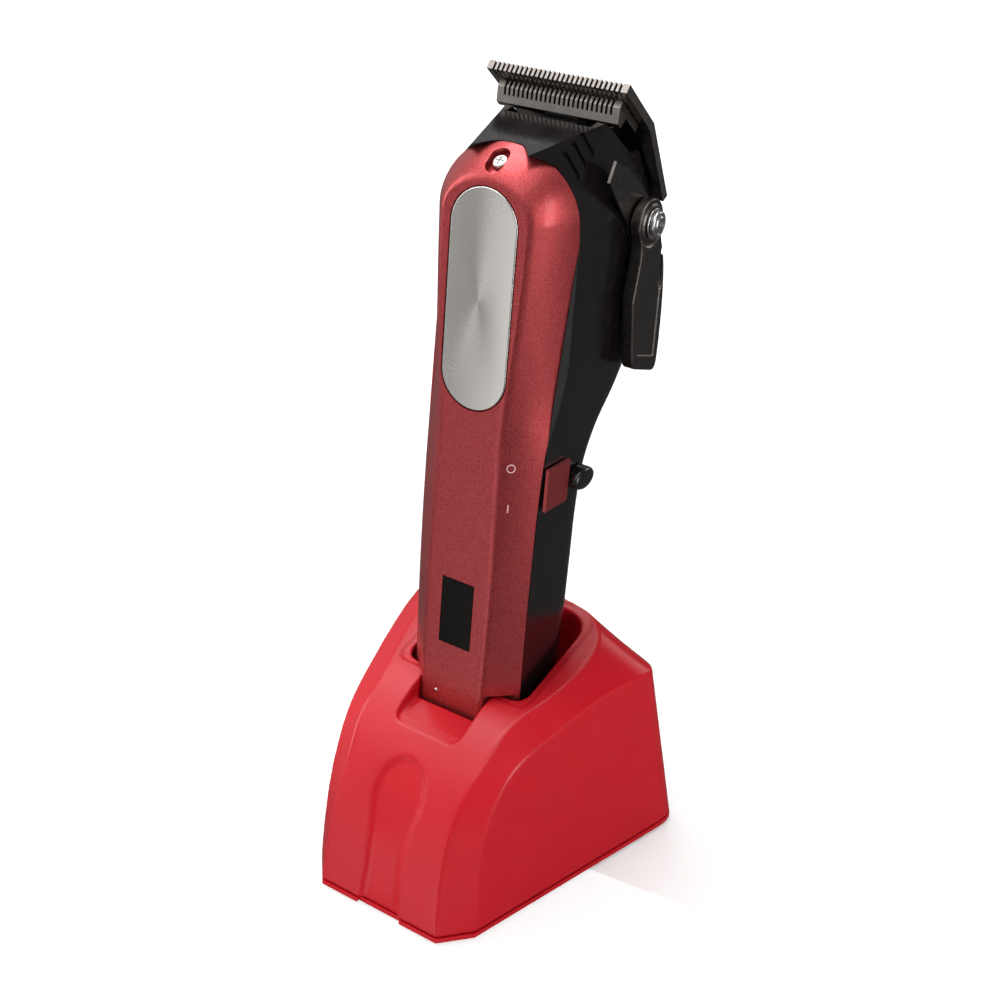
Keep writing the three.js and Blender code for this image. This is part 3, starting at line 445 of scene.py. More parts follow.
def brushed_plate():
    """Steel with a spun brushing round the middle of the plate."""
    low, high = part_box("trim_plate")
    middle = (Vector(low) + Vector(high)) / 2
    look = Look("brushed_plate", (0.66, 0.635, 0.6), 0.24, metallic=1.0)
    mapping = look.add("ShaderNodeMapping")
    mapping.vector_type = "POINT"
    mapping.inputs["Location"].default_value = -middle
    look.link(look.place, mapping, "Vector")
    parts = look.add("ShaderNodeSeparateXYZ")
    look.link(mapping.outputs["Vector"], parts, "Vector")
    reach = look.add("ShaderNodeMath", operation="POWER")
    squares = []
    for axis in (0, 2):
        square = look.add("ShaderNodeMath", operation="MULTIPLY")
        look.link(parts.outputs[axis], square, 0)
        look.link(parts.outputs[axis], square, 1)
        squares.append(square.outputs[0])
    total = look.add("ShaderNodeMath", operation="ADD")
    look.link(squares[0], total, 0)
    look.link(squares[1], total, 1)
    look.link(total.outputs[0], reach, 0)
    reach.inputs[1].default_value = 0.5
    rings = look.add("ShaderNodeTexNoise", noise_dimensions="1D")
    rings.inputs["Scale"].default_value = 1 / (0.16 * MM)
    rings.inputs["Detail"].default_value = 4
    look.link(reach.outputs[0], rings, "W")
    look.vary_colour(rings.outputs["Fac"], 0.14)
    look.vary_roughness(rings.outputs["Fac"], 0.05)
    look.bump(rings.outputs["Fac"], 0.006, 0.35)
    crown = look.add("ShaderNodeMath", operation="MULTIPLY")
    look.link(squares[0], crown, 0)
    crown.inputs[1].default_value = -5.0
    one_metre = 1000
    look.bump(crown.outputs[0], one_metre)
    look.shader.inputs["Anisotropic"].default_value = 0.85
    tangent = look.add("ShaderNodeTangent", direction_type="RADIAL", axis="Y")
    look.link(tangent.outputs["Tangent"], look.shader, "Tangent")


def make_looks():
    stand_red()
    burgundy()
    brushed_plate()
    plastic("foot_rubber", (0.02, 0.02, 0.021), 0.8, 0.5, 0.05, tone=0.2)
    plastic("black_plastic", (0.012, 0.012, 0.013), 0.42, 0.3, 0.03)
    plastic("housing_black", (0.005, 0.0035, 0.0038), 0.18, 0.6, 0.006, coat=0.1, tone=0.2)
    plastic("switch_black", (0.005, 0.005, 0.0055), 0.12, 0.6, 0.004, coat=0.5, tone=0.2)
    glass = plastic("window", (0.003, 0.002, 0.0015), 0.12, 2, 0.002, tone=0.2)
    glass.shader.inputs["Specular IOR Level"].default_value = 0.12
    plastic("board", (0.02, 0.11, 0.045), 0.45, 0.4, 0.02, tone=0.2)
    plastic("cell_wrap", (0.03, 0.12, 0.34), 0.3, 1, 0.01)
    metal("contact_brass", (0.72, 0.49, 0.2), 0.26)
    metal("screw_steel", (0.66, 0.65, 0.64), 0.2, tone=0.08)
    metal("motor_steel", (0.5, 0.5, 0.5), 0.32)
    metal("dark_metal", (0.17, 0.155, 0.145), 0.3, (1, 1, 0.2), tone=0.1)
    metal("blade_steel", (0.33, 0.3, 0.28), 0.27, (4, 0.4, 0.4), tone=0.1)
    plastic("mark_ink", (0.62, 0.36, 0.37), 0.5)


# ---- stand ------------------------------------------------------------------------------------
STAND_DEPTH = 92
REAR_RAKE = 0.17
CORNER = 12
WALL = 2.4
POCKET_HALF, POCKET_FRONT, POCKET_REAR, POCKET_FLOOR = 20.0, 38.8, 75.6, 42.85
NOTCH_HALF, NOTCH_FRONT, TONGUE_FRONT = 11.0, 20.0, 31.6
KEYHOLE_DEPTH = 1.0
RIM_STEP, RIM_WIDTH = 0.45, 2.3
BOSSES = [(-15, 10.5, 26), (15, 10.5, 26), (-32, 77, 46), (32, 77, 46)]
FEET = [(-20, 24), (20, 24), (-36, 66), (36, 66)]
PIN_X, PIN_Y = 5.0, 52.1
JACK_Z, JACK_ROOM = 11, 5.2

# The two creases on each side: where the top strip ends, and where the side panel begins.
CREASE_TOP = [
    (20.5, 0, -3), (19.4, 2.2, 16), (19, 8.2, 34.5), (20.2, 19.3, 50.1), (24.3, 39.5, 58.9),
    (27.4, 52, 62), (28, 61, 64.3), (25.6, 70.5, 66.7), (18.8, 76.6, 68.2), (10, 78.6, 68.7), (0, 79, 68.8),
]
CREASE_SIDE = [
    (27.3, 8, -3), (26.3, 9.2, 16), (25.9, 12.7, 32.6), (27.3, 21.8, 46.8), (31.4, 40.9, 54.4),
    (35, 54, 57), (36.8, 64, 58.6), (35.4, 74.5, 60.2), (25, 80.6, 61.4), (12, 81.6, 61.7), (0, 81.7, 61.7),
]
HEART = np.array((0, 50, 18.0))
KEYHOLE = [
    (7.8, -6), (7.2, 4), (6.6, 13.4), (7, 24), (8.4, 33), (8.6, 37.5), (7.2, 42), (3.9, 44.6), (0, 45.4),
]


def side_profile(inset):
    """Side view of the stand's front, top and rear, in Y and Z."""
    corners = np.array([(0, 0), (1.2, 24), (9.6, 51.5), (36, 58)], float)
    t = np.linspace(0, 1, 61)[:, None]
    weights = [(1 - t) ** 3, 3 * t * (1 - t) ** 2, 3 * t**2 * (1 - t), t**3]
    curve = sum(w * c for w, c in zip(weights, corners))
    steps = corners[1:] - corners[:-1]
    tangent = sum(w * c for w, c in zip([(1 - t) ** 2, 2 * t * (1 - t), t**2], steps))
    tangent /= np.linalg.norm(tangent, axis=1)[:, None]
    curve = curve + inset * np.stack([tangent[:, 1], -tangent[:, 0]], 1)
    rear = STAND_DEPTH + 4
    reach = rear - curve[-1][0]
    foot = [(curve[0][0], -6.0)] if inset > 0 else []
    return foot + [tuple(p) for p in curve] + [
        (rear, curve[-1][1] + reach * 0.252), (rear, -6.0 if inset > 0 else 0.0),
    ]


def panel_half(y, z, inset):
    return 27.5 + 0.262 * (y - 8) - 0.075 * z - inset


def panel_loop(z, inset):
    """Plan outline between the side panels and the rear wall, with round rear corners."""
    rear, corner = STAND_DEPTH - REAR_RAKE * z - inset, CORNER
    half = [(panel_half(-12, z, inset), -12)]
    half += [tuple(p) for p in quadratic(
        (panel_half(rear - corner, z, inset), rear - corner),
        (panel_half(rear, z, inset), rear),
        (panel_half(rear, z, inset) - corner, rear),
        18,
    )]
    return [(x, y, z) for x, y in mirrored(half)]


def around(half):
    """A crease or outline from one side, over the middle, to the other side."""
    return mirrored(half[:-1])[: len(half) - 1] + [half[-1]] + mirrored(half[:-1])[len(half) - 1 :]


def band_cutter(inset):
    """The wedge outside the band that joins the two creases, all the way round the rear."""
    loops = []
    for upper, lower in zip(catmull(around(CREASE_TOP), 8), catmull(around(CREASE_SIDE), 8)):
        across = lower - upper
        away = (upper - HEART) * (1, 0.7, 1)
        away /= np.linalg.norm(away)
        sideways = across / np.linalg.norm(across)
        outward = away - sideways * away.dot(sideways)
        start = upper - outward / np.linalg.norm(outward) * inset
        loops.append([start - across * 0.25, start + across * 3, start + away * 34 + sideways * 8])
    return loft(loops)


def stand_form(inset):
    form = prism("x", side_profile(inset), -60, 60)
    walls = loft([panel_loop(-10, inset), panel_loop(90, inset)])
    return subtract(intersect(form, walls), band_cutter(inset))


def beyond(solid, depth):
    """What lies outside the outer surface, down to a small depth under it."""
    return subtract(solid, stand_form(depth))


def pocket_outline(grow):
    half, front, rear = POCKET_HALF + grow, POCKET_FRONT - grow, POCKET_REAR + grow
    near = quadratic((half - 4.5, front), (half, front), (half, front + 5))
    far = quadratic((half, rear - 9), (half, rear), (half - 9.5, rear))
    return mirrored([tuple(p) for p in near] + [tuple(p) for p in far])


def front_tab(front, grow, bend):
    """The narrow part in front of the pocket, open to the rear."""
    half = NOTCH_HALF + grow
    corner = quadratic((half - bend, front - grow), (half, front - grow), (half, front - grow + bend))
    return mirrored([tuple(p) for p in corner] + [(half, POCKET_FRONT + 6)])


def keyhole_outline(narrower):
    """narrower shrinks the outline towards its middle line."""
    half = [(x - narrower if x else 0, z - narrower * 1.1 * (z > 36)) for x, z in KEYHOLE]
    half[-2] = (half[-2][0] + narrower * 0.5, half[-2][1])
    return catmull(around(half), 6, 0)


def stand_shell():
    floor = POCKET_FLOOR - 2.2
    well = join(
        prism("z", pocket_outline(2), floor, 90),
        prism("z", front_tab(TONGUE_FRONT, 2, 5), floor, 90),
        prism("z", front_tab(NOTCH_FRONT, 2, 6), 46.5, 90),
    )
    shell = subtract(stand_form(0), stand_form(WALL))
    shell = join(shell, intersect(well, stand_form(0)))
    for x, y, height in BOSSES:
        shell = join(shell, intersect(post(3.6, x, y, 5, height + 16), stand_form(0)))
    shelf = prism("x", [(15, 49.2), (46, 54.3), (46, 90), (15, 90)], -30, 30)
    cuts = [
        prism("z", pocket_outline(0), POCKET_FLOOR, 90),
        prism("z", front_tab(TONGUE_FRONT, 0, 2), POCKET_FLOOR, 90),
        intersect(prism("z", front_tab(NOTCH_FRONT, 0, 4.5), 40, 90), shelf),
        beyond(prism("z", pocket_outline(RIM_WIDTH), 40, 90), RIM_STEP),
        block((-9.5, PIN_Y - 5, POCKET_FLOOR - 6), (9.5, PIN_Y + 5, POCKET_FLOOR + 2)),
        prism("y", circle(JACK_ROOM, 0, JACK_Z), STAND_DEPTH - 14, STAND_DEPTH + 2),
        block((-60, -5, -1), (60, STAND_DEPTH + 5, 1.7)),
    ]
    steps = 5
    for step in range(steps):
        share = step / (steps - 1)
        cut = prism("y", keyhole_outline(1.5 * share), -5, 24)
        cuts.append(beyond(cut, KEYHOLE_DEPTH * (0.15 + 0.85 * share)))
    cuts += [post(1.4, x, y, 1, 11) for x, y, _ in BOSSES]
    for cut in cuts:
        shell = subtract(shell, cut)
    shell = moulded(shell, "stand_shell_moulded", 0.48, 6)
    mark_grain(shell)
    finish_piece(shell, BENCH, "stand", "stand_red", "stand_shell")


def mark_grain(shell):
    """Writes, for each point, how much of the spark-eroded grain its place has."""
    count = len(shell.data.vertices)
    points = np.empty(count * 3, np.float32)
    shell.data.vertices.foreach_get("co", points)
    x, y, z = points.reshape(-1, 3).T
    crease = catmull(CREASE_TOP, 8)
    edge = np.interp(y + z, crease[:, 1] + crease[:, 2], crease[:, 0])
    strip = np.clip((edge - 0.4 - np.abs(x)) / 0.9, 0, 1)
    profile = np.array(side_profile(0)[:-1])
    top = np.interp(y, profile[:, 0], profile[:, 1])
    strip *= np.clip((z - top + 2.2) / 0.6, 0, 1) * (y < 78)
    outline = catmull(around(KEYHOLE), 6, 0)
    right = outline[outline[:, 0] >= 0]
    right = right[np.argsort(right[:, 1])]
    hole = np.interp(z, right[:, 1], right[:, 0], right=-5)
    strip *= 1 - np.clip((hole - 0.2 - np.abs(x)) / 0.7, 0, 1) * (y < 24)
    layer = shell.data.attributes.new("grain", "FLOAT", "POINT")
    layer.data.foreach_set("value", strip.astype(np.float32))


def ringed_screw(name, node, place, body):
    """The lever's screw: a low polished head with turned rings round a small hexagon socket."""
    profile = [
        (0, -15), (0.7, -15), (1.6, -14), (1.6, -0.02), (3.4, 0), (3.4, 0.7), (3.3, 0.95),
        (3.0, 1.12), (2.62, 1.16), (2.5, 0.95), (2.3, 0.95), (2.16, 1.25), (1.9, 1.42),
        (1.5, 1.54), (1.25, 1.58), (0, 1.6),
    ]
    solid = subtract(turned(name, profile), prism("z", circle(0.95, sides=6), 0.8, 3))
    solid.name = name
    finish_piece(solid, place, body, "screw_steel", node)
    soften(solid, 0.05 * MM, 40)


def screw(name, node, head, height, shank, length, place, body):
    """A pan-head screw with a cross recess, head up, its underside at z = 0."""
    steps = 5
    round_over = []
    for k in range(1, steps + 1):
        rise = math.sin(math.pi / 2 * k / steps)
        round_over.append((head * (0.97 - 0.5 * k * k / steps**2), height * (0.5 + 0.5 * rise)))
    profile = [(0, -length), (shank * 0.4, -length), (shank, -length + shank), (shank, -0.02), (head, 0)]
    profile += [(head, height * 0.45)] + round_over + [(0, height)]
    solid = turned(name, profile)
    slot, deep = head * 0.62, height * 0.45
    for wide, long in ((slot, 0.28), (0.28, slot)):
        solid = subtract(solid, block((-wide, -long, deep), (wide, long, height + 1)))
    solid.name = name
    finish_piece(solid, place, body, "screw_steel", node)
    soften(solid, 0.07 * MM, 40)


def stand_parts():
    for i, (x, y) in enumerate(FEET, 1):
        profile = [(0, -1.2), (3.6, -1.2), (4.0, -1.12), (4.35, -0.85), (4.5, -0.45), (4.5, 0.35), (0, 0.35)]
        foot = turned(f"foot_round_{i}", profile)
        finish_piece(foot, BENCH @ Matrix.Translation((x, y, 0)), "stand", "foot_rubber", f"foot_{i}")
        soften(foot, 0.08 * MM, 50)
    for i, (x, y, _) in enumerate(BOSSES, 1):
        place = BENCH @ Matrix.Translation((x, y, 1.7)) @ Matrix.Rotation(math.pi, 4, "X")
        screw(f"base_screw_round_{i}", f"base_screw_{i}", 2.7, 1.3, 1.1, 7.5, place, "stand")
    for i, side in ((1, -1), (2, 1)):
        profile = [
            (0, -6.2), (0.7, -6.2), (0.7, -3.4), (2, -3.4), (2, -2.6), (1.1, -2.6), (1.1, 0.35), (1.0, 0.5),
            (0.7, 0.6), (0.55, 0.72), (0.3, 0.8), (0, 0.8),
        ]
        pin = turned(f"contact_pin_round_{i}", profile, 32)
        place = BENCH @ Matrix.Translation((side * PIN_X, PIN_Y, POCKET_FLOOR))
        finish_piece(pin, place, f"pin_{i}", "contact_brass", f"contact_pin_{i}")
        soften(pin, 0.05 * MM, 50)


# ---- clipper ----------------------------------------------------------------------------------
# Height, half width of the front flat, half width and depth of the seam behind the bevel.
COVER_ROWS = [
    (0, 9.2, 17.6, 8.2), (14, 9.9, 17.8, 8), (45, 10.3, 18, 7.2), (78, 9.6, 18.3, 7.7),
    (90, 9.4, 18.6, 8.8), (100, 10.1, 19.4, 11.6), (110, 11.1, 19.9, 13.2),
    (125, 12.2, 20.1, 13.9), (138, 12.8, 20.1, 13.1), (147, 12.9, 20, 11.8),
]
COVER_WALL, GAP = 1.8, 0.3
ARCH_CENTRE, ARCH_RISE, FLAT_TOP, SEAM_TOP = 147.0, 17.0, 156.5, 9.4
PLATE_HALF, PLATE_LOW, PLATE_HIGH = 9.8, 97.0, 154.6
FLAT_EDGE = 1.1  # width of the soft edge round the front flat
WINDOW = (10, 20, 37)  # width, height, middle

# Height, half width and rear of the housing.
HOUSING_ROWS = [
    (0, 17.6, 36), (45, 18, 36), (66, 18.2, 36), (78, 18.4, 37.4), (88, 18.7, 42), (98, 19.3, 49.5),
    (108, 19.9, 54.5), (122, 20.1, 57), (138, 20.1, 57.5), (147, 19.9, 57.5), (155.6, 17.2, 57.5),
    (170, 15.2, 57.5),
]
HOUSING_WALL = 2.2
REAR_LIMIT = 57.45
HEAD_PROFILE = [
    (-6, -2), (-6, 160.4), (28.8, 168.6), (40.1, 160.4), (44.8, 160.4), (53.4, 145.4), (57, 142),
    (62, 141), (62, -2),
]
PIVOT = (41.2, 143.6)  # taper lever, v and w
HOUSING_SCREWS = [(-9, 14), (9, 14)]  # u and w


def cover_loop(kind, inset, depth=None, back=0.0):
    """One closed outline of the cover: 'flat' is the edge of its front flat, 'seam' is its rear edge."""
    seam = kind == "seam"
    half = []
    for height, flat, side, deep in catmull(COVER_ROWS, 8):
        if height < 1e-6:
            height = inset * 10 if inset < 0 else max(inset, 0 if seam else 1.2 + inset)
        half.append(((side if seam else flat) - inset, (deep if depth is None else depth) + back, height))
    _, flat, side, deep = COVER_ROWS[-1]
    rise = (ARCH_RISE if seam else FLAT_TOP - ARCH_CENTRE) - inset
    width = (side if seam else flat) - inset
    arch = np.linspace(0, np.pi / 2, 29)[1:]
    for angle in arch:
        sunk = deep - (deep - SEAM_TOP) * math.sin(angle)
        half.append((
            width * math.cos(angle) if angle < arch[-1] else 0.0,
            (sunk if depth is None else depth) + back,
            ARCH_CENTRE + rise * math.sin(angle),
        ))
    return half + [(-x, y, z) for x, y, z in half[-2::-1]]


def cover_room():
    return loft([cover_loop("seam", -GAP, -6), cover_loop("seam", -GAP, back=GAP)])


def stadium(half, low, high):
    angle = np.linspace(0, np.pi, 33)
    top = np.stack([half * np.cos(angle), high - half + half * np.sin(angle)], 1)
    return np.concatenate([top, np.stack([-top[:, 0], low + high - top[:, 1]], 1)])


def window_outline(grow):
    w, h, middle = WINDOW[0] / 2 + grow, WINDOW[1] / 2 + grow, WINDOW[2]
    return [(-w, middle - h), (w, middle - h), (w, middle + h), (-w, middle + h)]


SLOPE_RISE = ARCH_CENTRE + ARCH_RISE - FLAT_TOP
SLOPE = Matrix.Translation((0, SEAM_TOP * 0.52, FLAT_TOP + SLOPE_RISE * 0.52)) @ Matrix.Rotation(
    math.atan2(SLOPE_RISE, SEAM_TOP), 4, "X"
)


def on_slope(solid):
    solid.data.transform(SLOPE)
    return solid


def corner_relief(grow):
    """The lower corners step in, so that the clipper passes the shoulders of the pocket."""
    sides = []
    for side in (-1, 1):
        inner, outer = sorted(((10.4 - grow) * side, 30 * side))
        sides.append(block((inner, -10, -10), (outer, 7.1 + grow, 14.4 + grow)))
    return sides


def cover_skin():
    """The cover's outer form: a crowned bevel from the seam, a soft edge, then the front flat."""
    seam = np.array(cover_loop("seam", 0))
    flat = np.array(cover_loop("flat", 0, 0))
    inner = np.array(cover_loop("flat", FLAT_EDGE, 0))
    across = flat - seam
    centre = np.stack([seam[:, 0] * 0, seam[:, 1], np.clip(seam[:, 2], 0, ARCH_CENTRE)], 1)
    out = seam - centre
    out[:, 2] *= seam[:, 2] > ARCH_CENTRE
    out /= np.maximum(np.linalg.norm(out, axis=1), 1e-6)[:, None]
    out[:, 1] -= 1
    unit = across / np.linalg.norm(across, axis=1)[:, None]
    out -= unit * np.sum(out * unit, axis=1)[:, None]
    out /= np.linalg.norm(out, axis=1)[:, None]
    crown = 0.1 + 0.75 * np.clip((seam[:, 2:] - 25) / 70, 0, 1)
    bevel = lambda t: seam + across * t + out * crown * 4 * t * (1 - t)
    loops = [bevel(t) for t in np.linspace(0, 0.88, 9)]
    start = loops[-1]
    for t in np.linspace(0, 1, 7)[1:]:
        loops.append((1 - t) ** 2 * start + 2 * t * (1 - t) * flat + t**2 * inner)
    return loft(loops)


def front_cover():
    inside = loft([
        cover_loop("seam", COVER_WALL + 0.6, back=4),
        cover_loop("seam", COVER_WALL + 0.6),
        cover_loop("flat", 0.8, COVER_WALL),
    ])
    inside = subtract(inside, *corner_relief(1.4))
    boss = on_slope(intersect(post(3.4, 0, 0, -5.2, -1.2), post(8, 0, 0, -9, 4)))
    cover = join(subtract(cover_skin(), inside), intersect(boss, cover_skin()))
    cuts = corner_relief(0) + [
        prism("y", stadium(PLATE_HALF + 0.3, PLATE_LOW - 0.3, PLATE_HIGH + 0.3), -3, 1.05),
        prism("y", window_outline(0.2), -3, 5),
        on_slope(post(1.3, 0, 0, -8, 4)),
        on_slope(prism("z", stadium(2.55, -4.6, 3.4), -1.4, 4.6)),
    ]
    for cut in cuts:
        cover = subtract(cover, cut)
    cover.name = "front_cover_moulded"
    finish_piece(cover, CLIPPER, "clipper", "burgundy", "front_cover")
    soften(cover, 0.22 * MM, 38)


def cover_trim():
    rim = 0.35
    loops = [
        np.insert(stadium(PLATE_HALF - edge, PLATE_LOW + edge, PLATE_HIGH - edge), 1, depth, axis=1)
        for edge, depth in ((0, 0.75), (0, 0.15), (0.08, 0.0), (0.22, -0.11), (rim, -0.15))
    ]
    plate = loft(loops)
    plate.name = "trim_plate_brushed"
    finish_piece(plate, CLIPPER, "clipper", "brushed_plate", "trim_plate")
    soften(plate, 0.04 * MM, 60)
    place = CLIPPER @ SLOPE @ Matrix.Translation((0, 0, -1.1))
    screw("cover_screw_round", "cover_screw", 2.1, 1.1, 1.0, 6, place, "clipper")
    marks()
    dot = turned("seal_dot", [(0, -0.4), (0.6, -0.4), (0.6, 0.02), (0.5, 0.12), (0.25, 0.2), (0, 0.22)], 32)
    place = CLIPPER @ Matrix.Translation((-5.0, 0, 10.5)) @ Matrix.Rotation(math.pi / 2, 4, "X")
    finish_piece(dot, place, "clipper", "screw_steel")


def marks():
    """Plain O and I printed on the bevel beside the switch."""
    across = Vector((8.7, 7.7, 0)).normalized()
    out = Vector((across.y, -across.x, 0))
    turn = Matrix((across, Vector((0, 0, 1)), out)).transposed().to_4x4()
    for name, height, rise, shape in (("mark_off", 83.6, 0.62, "ring"), ("mark_on", 72.2, 0.68, "bar")):
        spot = Vector((9.55, 0, height)) + across * 3.4 + out * rise
        if shape == "ring":
            loops = [[(*p, z) for p in circle(r, sides=40)] for r, z in ((1.2, -0.1), (1.2, 0.03))]
            mark = subtract(loft(loops), post(0.92, 0, 0, -1, 1))
        else:
            mark = block((-0.17, -1.15, -0.2), (0.17, 1.15, 0.04))
        mark.name = name
        finish_piece(mark, CLIPPER @ Matrix.Translation(spot) @ turn, "clipper", "mark_ink")
        for face in mark.data.polygons:
            face.use_smooth = False


def housing_loop(height, side, rear, inset, front):
    rear = min(rear, REAR_LIMIT)
    start = min(rear - inset - 8, 24 + (rear - 36) * 0.9)
    half = [(0, front), (side - inset, front), (side - inset, start)]
    for angle in np.linspace(0, np.pi / 2, 22)[1:-1]:
        half.append((
            (side - inset) * math.cos(angle) ** (2 / 2.7),
            start + (rear - inset - start) * math.sin(angle) ** (2 / 2.7),
        ))
    half.append((0, rear - inset))
    loop = half + [(-x, y) for x, y in half[-2:0:-1]]
    return [(x, y, height) for x, y in loop]


def housing_form(inset, front):
    rows = [tuple(row) for row in catmull(HOUSING_ROWS[:10], 6)] + HOUSING_ROWS[10:]
    if inset > 0:
        rows[0] = (-1, *rows[0][1:])
    return loft([housing_loop(*row, inset, front) for row in rows])


def roof_height(u, v):
    """Height of the slanted face beside the head."""
    return 155.6 - 1.1855 * (u - 17.2) + 0.551 * (v - 10.6)


def roof_cutter(side):
    corners = [(2, -4), (36, -4), (36, 66), (2, 66)]
    low = [(x * side, y, roof_height(x, y)) for x, y in corners]
    return loft([low, [(x, y, z + 90) for x, y, z in low]])


def side_ribs():
    """Grooves that run down the slanted face on each side of the head."""
    inner, outer, above, depth = 12.4, 24, 190, 1.3
    grooves = []
    for side in (-1, 1):
        for k in range(3):
            v = 13.4 + 3.5 * k
            loops = []
            for y in (v, v + 1.5):
                floor = [(x, roof_height(x, y) - depth) for x in (inner, outer)]
                loops.append([(side * x, y, z) for x, z in (*floor, (outer, above), (inner, above))])
            grooves.append(loft(loops))
    return grooves


TOE, HEEL = np.array((0.807, -0.593)), np.array((0.519, -0.854))
BLADE_TIP = np.array((28.9, 179.0))
BEND = BLADE_TIP + TOE * 18.7


def blade_slab(origin, along, half, start, end, upper, lower, middle=0.0):
    deep = np.array((along[1], -along[0]))
    corners = ((start, upper), (end, upper), (end, lower), (start, lower))
    outline = [origin + along * d + deep * h for d, h in corners]
    return prism("x", outline, middle - half, middle + half)


def rear_housing():
    head = prism("x", HEAD_PROFILE, -40, 40)
    housing = subtract(intersect(housing_form(0, 2), head), roof_cutter(-1), roof_cutter(1))
    hollow = intersect(housing_form(HOUSING_WALL, -4), block((-30, -5, -2), (30, 70, 143)))
    throat = block((-12.5, 19, 140), (12.5, 40, 161))
    cuts = [
        *side_ribs(), cover_room(), hollow, throat,
        block((-12.5, 25.5, 150), (12.5, 39.5, 180)),
        block((-14, 8, 138), (14, 16, 150)),
    ]
    for cut in cuts:
        housing = subtract(housing, cut)
    for x, z in HOUSING_SCREWS:
        housing = join(housing, prism("y", circle(3.4, x, z), 25.6, 33.9))
        sink, bore = prism("y", circle(2.6, x, z), 33.6, 39.6), prism("y", circle(1.4, x, z), 20, 40)
        housing = subtract(housing, sink, bore)
    housing = subtract(housing, block((12, 13.5, 69.5), (24, 18.5, 79.5)))
    housing = join(housing, prism("x", circle(4.4, *PIVOT), 13.6, 19.1))
    housing = subtract(housing, prism("x", circle(1.9, *PIVOT), 6, 36))
    housing = subtract(housing, blade_slab(BEND, HEEL, 9.8, 1.5, 21, 2.9, 5.8))
    for side in (-1, 1):
        housing = subtract(housing, blade_slab(BEND, HEEL, 2.2, 5, 14.5, 5, 12, side * 6))
    housing = subtract(housing, block((-40, -10, -5), (40, 8, 4.5)))
    housing.name = "rear_housing_moulded"
    finish_piece(housing, CLIPPER, "clipper", "housing_black", "rear_housing")
    soften(housing, 0.3 * MM, 35)


def controls():
    profile = [(1, 0), (1, 2.0), (0.97, 2.6), (0.9, 3.0), (0.78, 3.25), (0.6, 3.38), (0.3, 3.45)]
    base, middle_v, middle_w, half_v, half_w = 18.95, 25, 76, 4.9, 3.1
    angle = np.linspace(0, 2 * np.pi, 56, endpoint=False)
    loops = []
    for scale, out in profile:
        v = middle_v + half_v * scale * np.cos(angle)
        w = middle_w + half_w * scale * np.sin(angle)
        loops.append(np.stack([np.full_like(v, base + out), v, w], 1))
    knob = loft(loops)
    knob.name = "switch_knob_domed"
    finish_piece(knob, CLIPPER, "switch", "switch_black", "switch_knob")
    soften(knob, 0.1 * MM, 50)
    lever()
    place = CLIPPER @ Matrix.Translation((25.8, *PIVOT)) @ Matrix.Rotation(math.pi / 2, 4, "Y")
    ringed_screw("lever_screw_round", "lever_screw", place, "clipper")
    washer = turned("ring", [(0, 0), (3.85, 0), (4.0, 0.1), (4.0, 0.3), (3.85, 0.4), (0, 0.4)])
    washer = subtract(washer, post(1.9, 0, 0, -1, 2))
    washer.name = "lever_washer_round"
    place = CLIPPER @ Matrix.Translation((25.2, *PIVOT)) @ Matrix.Rotation(math.pi / 2, 4, "Y")
    finish_piece(washer, place, "clipper", "screw_steel", "lever_washer")
    for i, side in ((1, -1), (2, 1)):
        profile = [
            (0, -0.1), (1.55, -0.1), (1.75, 0.0), (1.8, 0.15), (1.8, 1.4), (0.8, 1.4), (0.8, 6), (0, 6),
        ]
        contact = turned(f"charge_contact_round_{i}", profile, 40)
        place = CLIPPER @ Matrix.Translation((side * PIN_X, 20, 0))
        finish_piece(contact, place, "clipper", "contact_brass", f"charge_contact_{i}")
        soften(contact, 0.05 * MM, 50)
    for i, (x, z) in enumerate(HOUSING_SCREWS, 1):
        place = CLIPPER @ Matrix.Translation((x, 33.9, z)) @ Matrix.Rotation(-math.pi / 2, 4, "X")
        screw(f"housing_screw_round_{i}", f"housing_screw_{i}", 2.1, 1.0, 1.05, 7, place, "clipper")


def lever():
    """The taper lever: a boss round its screw and a long thumb pad with a shallow dish."""
    y, z = PIVOT
    boss = [(y + 6.2 * math.cos(a), z + 6.2 * math.sin(a)) for a in np.radians(np.linspace(-35, 215, 60))]

    def cubic(a, b, c, d, count=24):
        t = np.linspace(0, 1, count)[1:, None]
        a, b, c, d = (np.array(p, float) for p in (a, b, c, d))
        return (1 - t) ** 3 * a + 3 * t * (1 - t) ** 2 * b + 3 * t**2 * (1 - t) * c + t**3 * d

    front = cubic(boss[-1], (y - 3.4, z - 7), (y - 5, z - 12), (y - 6, z - 20))
    tip = quadratic((y - 2.6, z - 37.5), (y - 2.2, z - 39.5), (y, z - 40))
    heel = quadratic((y + 9, z - 42.5), (y + 11.4, z - 43), (y + 11.6, z - 40))
    rear = cubic((y + 11.6, z - 40), (y + 12, z - 30), (y + 10.6, z - 16), (y + 8.2, z - 10))
    outline = np.concatenate([boss, front, tip, heel, rear])
    pad = prism("x", outline, 21.6, 25.0)
    start, along = np.array((y + 7.2, z - 8)), np.array((0.13, -0.99))
    groove = blade_slab(start, along, 0.9, 0, 11, -0.55, 0.55, 25.0)
    hollow = [(y - 3.6, z - 17), (y + 8.6, z - 17), (y + 9.4, z - 38.5), (y - 0.2, z - 36)]
    dish = prism("x", hollow, 24.55, 26)
    ring = subtract(prism("x", circle(6.3, y, z), 24.5, 26), prism("x", circle(4.7, y, z), 24, 27))
    for cut in (groove, dish, ring, prism("x", circle(1.9, y, z), 16, 28)):
        pad = subtract(pad, cut)
    pad = moulded(pad, "taper_lever_cast", 0.22, 4)
    finish_piece(pad, CLIPPER, "lever", "dark_metal", "taper_lever")


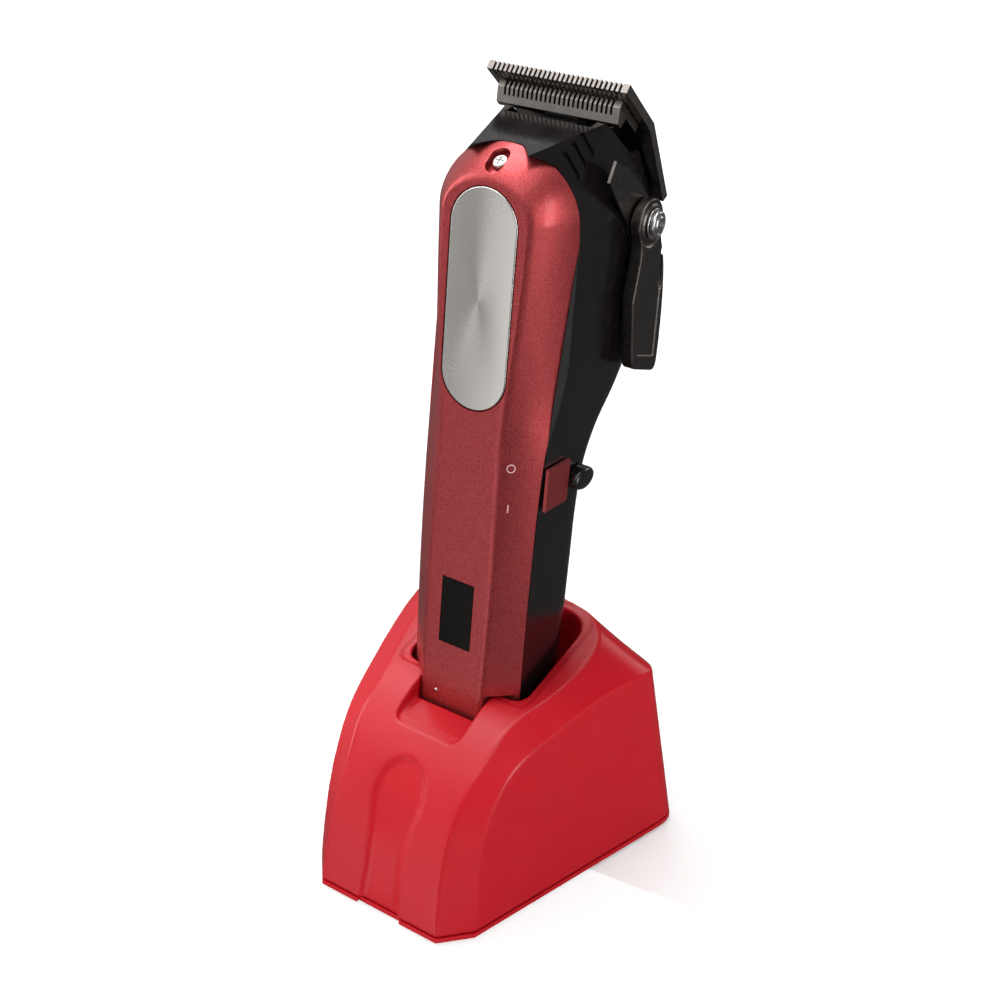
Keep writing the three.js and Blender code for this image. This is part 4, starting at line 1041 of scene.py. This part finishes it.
def dress_cad():
    """Materials and softened edges for the CAD nodes that stay."""
    slots = {part["node"]: part["material_slot"] for part in frame["record"]["subparts"]}
    widths = {
        "base_plate": 0.35, "switch_slider": 0.25, "display_window": 0.2, "fixed_blade": 0.06,
        "moving_blade": 0.06, "lever_bracket": 0.12, "end_cap": 0.3, "contact_block": 0.25, "dc_jack": 0.2,
    }
    plain = {"contact_spring_1", "contact_spring_2", "tension_spring"}
    for name, node in NODES.items():
        node.data.materials.clear()
        node.data.materials.append(LOOKS[slots[name]])
        for face in node.data.polygons:
            face.use_smooth = True
        if name not in plain:
            soften(node, widths.get(name, 0.15) * MM, 32)


def add_floor():
    size = 6.0
    corners = [(-size, -size, 0), (size, -size, 0), (size, size, 0), (-size, size, 0)]
    floor = make_object("floor", corners, [[0, 1, 2, 3]])
    look = Look("pale_floor", (0.92, 0.92, 0.92), 0.6)
    look.vary_colour(look.noise(400, 2), 0.01)
    reach = look.add("ShaderNodeVectorMath", operation="LENGTH")
    look.link(look.place, reach, 0)
    look.link(look.spread(reach.outputs["Value"], 0, 0.9, 0.35, 1.3), look.shader, "Emission Strength")
    look.shader.inputs["Emission Color"].default_value = (1, 1, 1, 1)
    floor.data.materials.append(look.material)
    floor.visible_glossy = False


def add_backdrop():
    """A white wall round the floor that only the camera sees."""
    rings = [(5.9 * math.cos(a), 5.9 * math.sin(a)) for a in np.radians(np.linspace(0, 85, 12))]
    wall = loft([[(x, y, z) for x, y in circle(r, sides=64)] for r, z in rings])
    wall.name = "backdrop"
    look = Look("backdrop_white", (0.9, 0.9, 0.9), 0.8)
    look.vary_colour(look.noise(600, 2), 0.01)
    look.shader.inputs["Emission Color"].default_value = (1, 1, 1, 1)
    look.shader.inputs["Emission Strength"].default_value = 0.97
    wall.data.materials.append(look.material)
    wall.visible_diffuse = wall.visible_glossy = wall.visible_shadow = wall.visible_transmission = False


add_camera()
add_studio()
make_looks()
add_floor()
add_backdrop()
stand_shell()
stand_parts()
front_cover()
cover_trim()
rear_housing()
controls()
dress_cad()

bpy.context.view_layer.update()
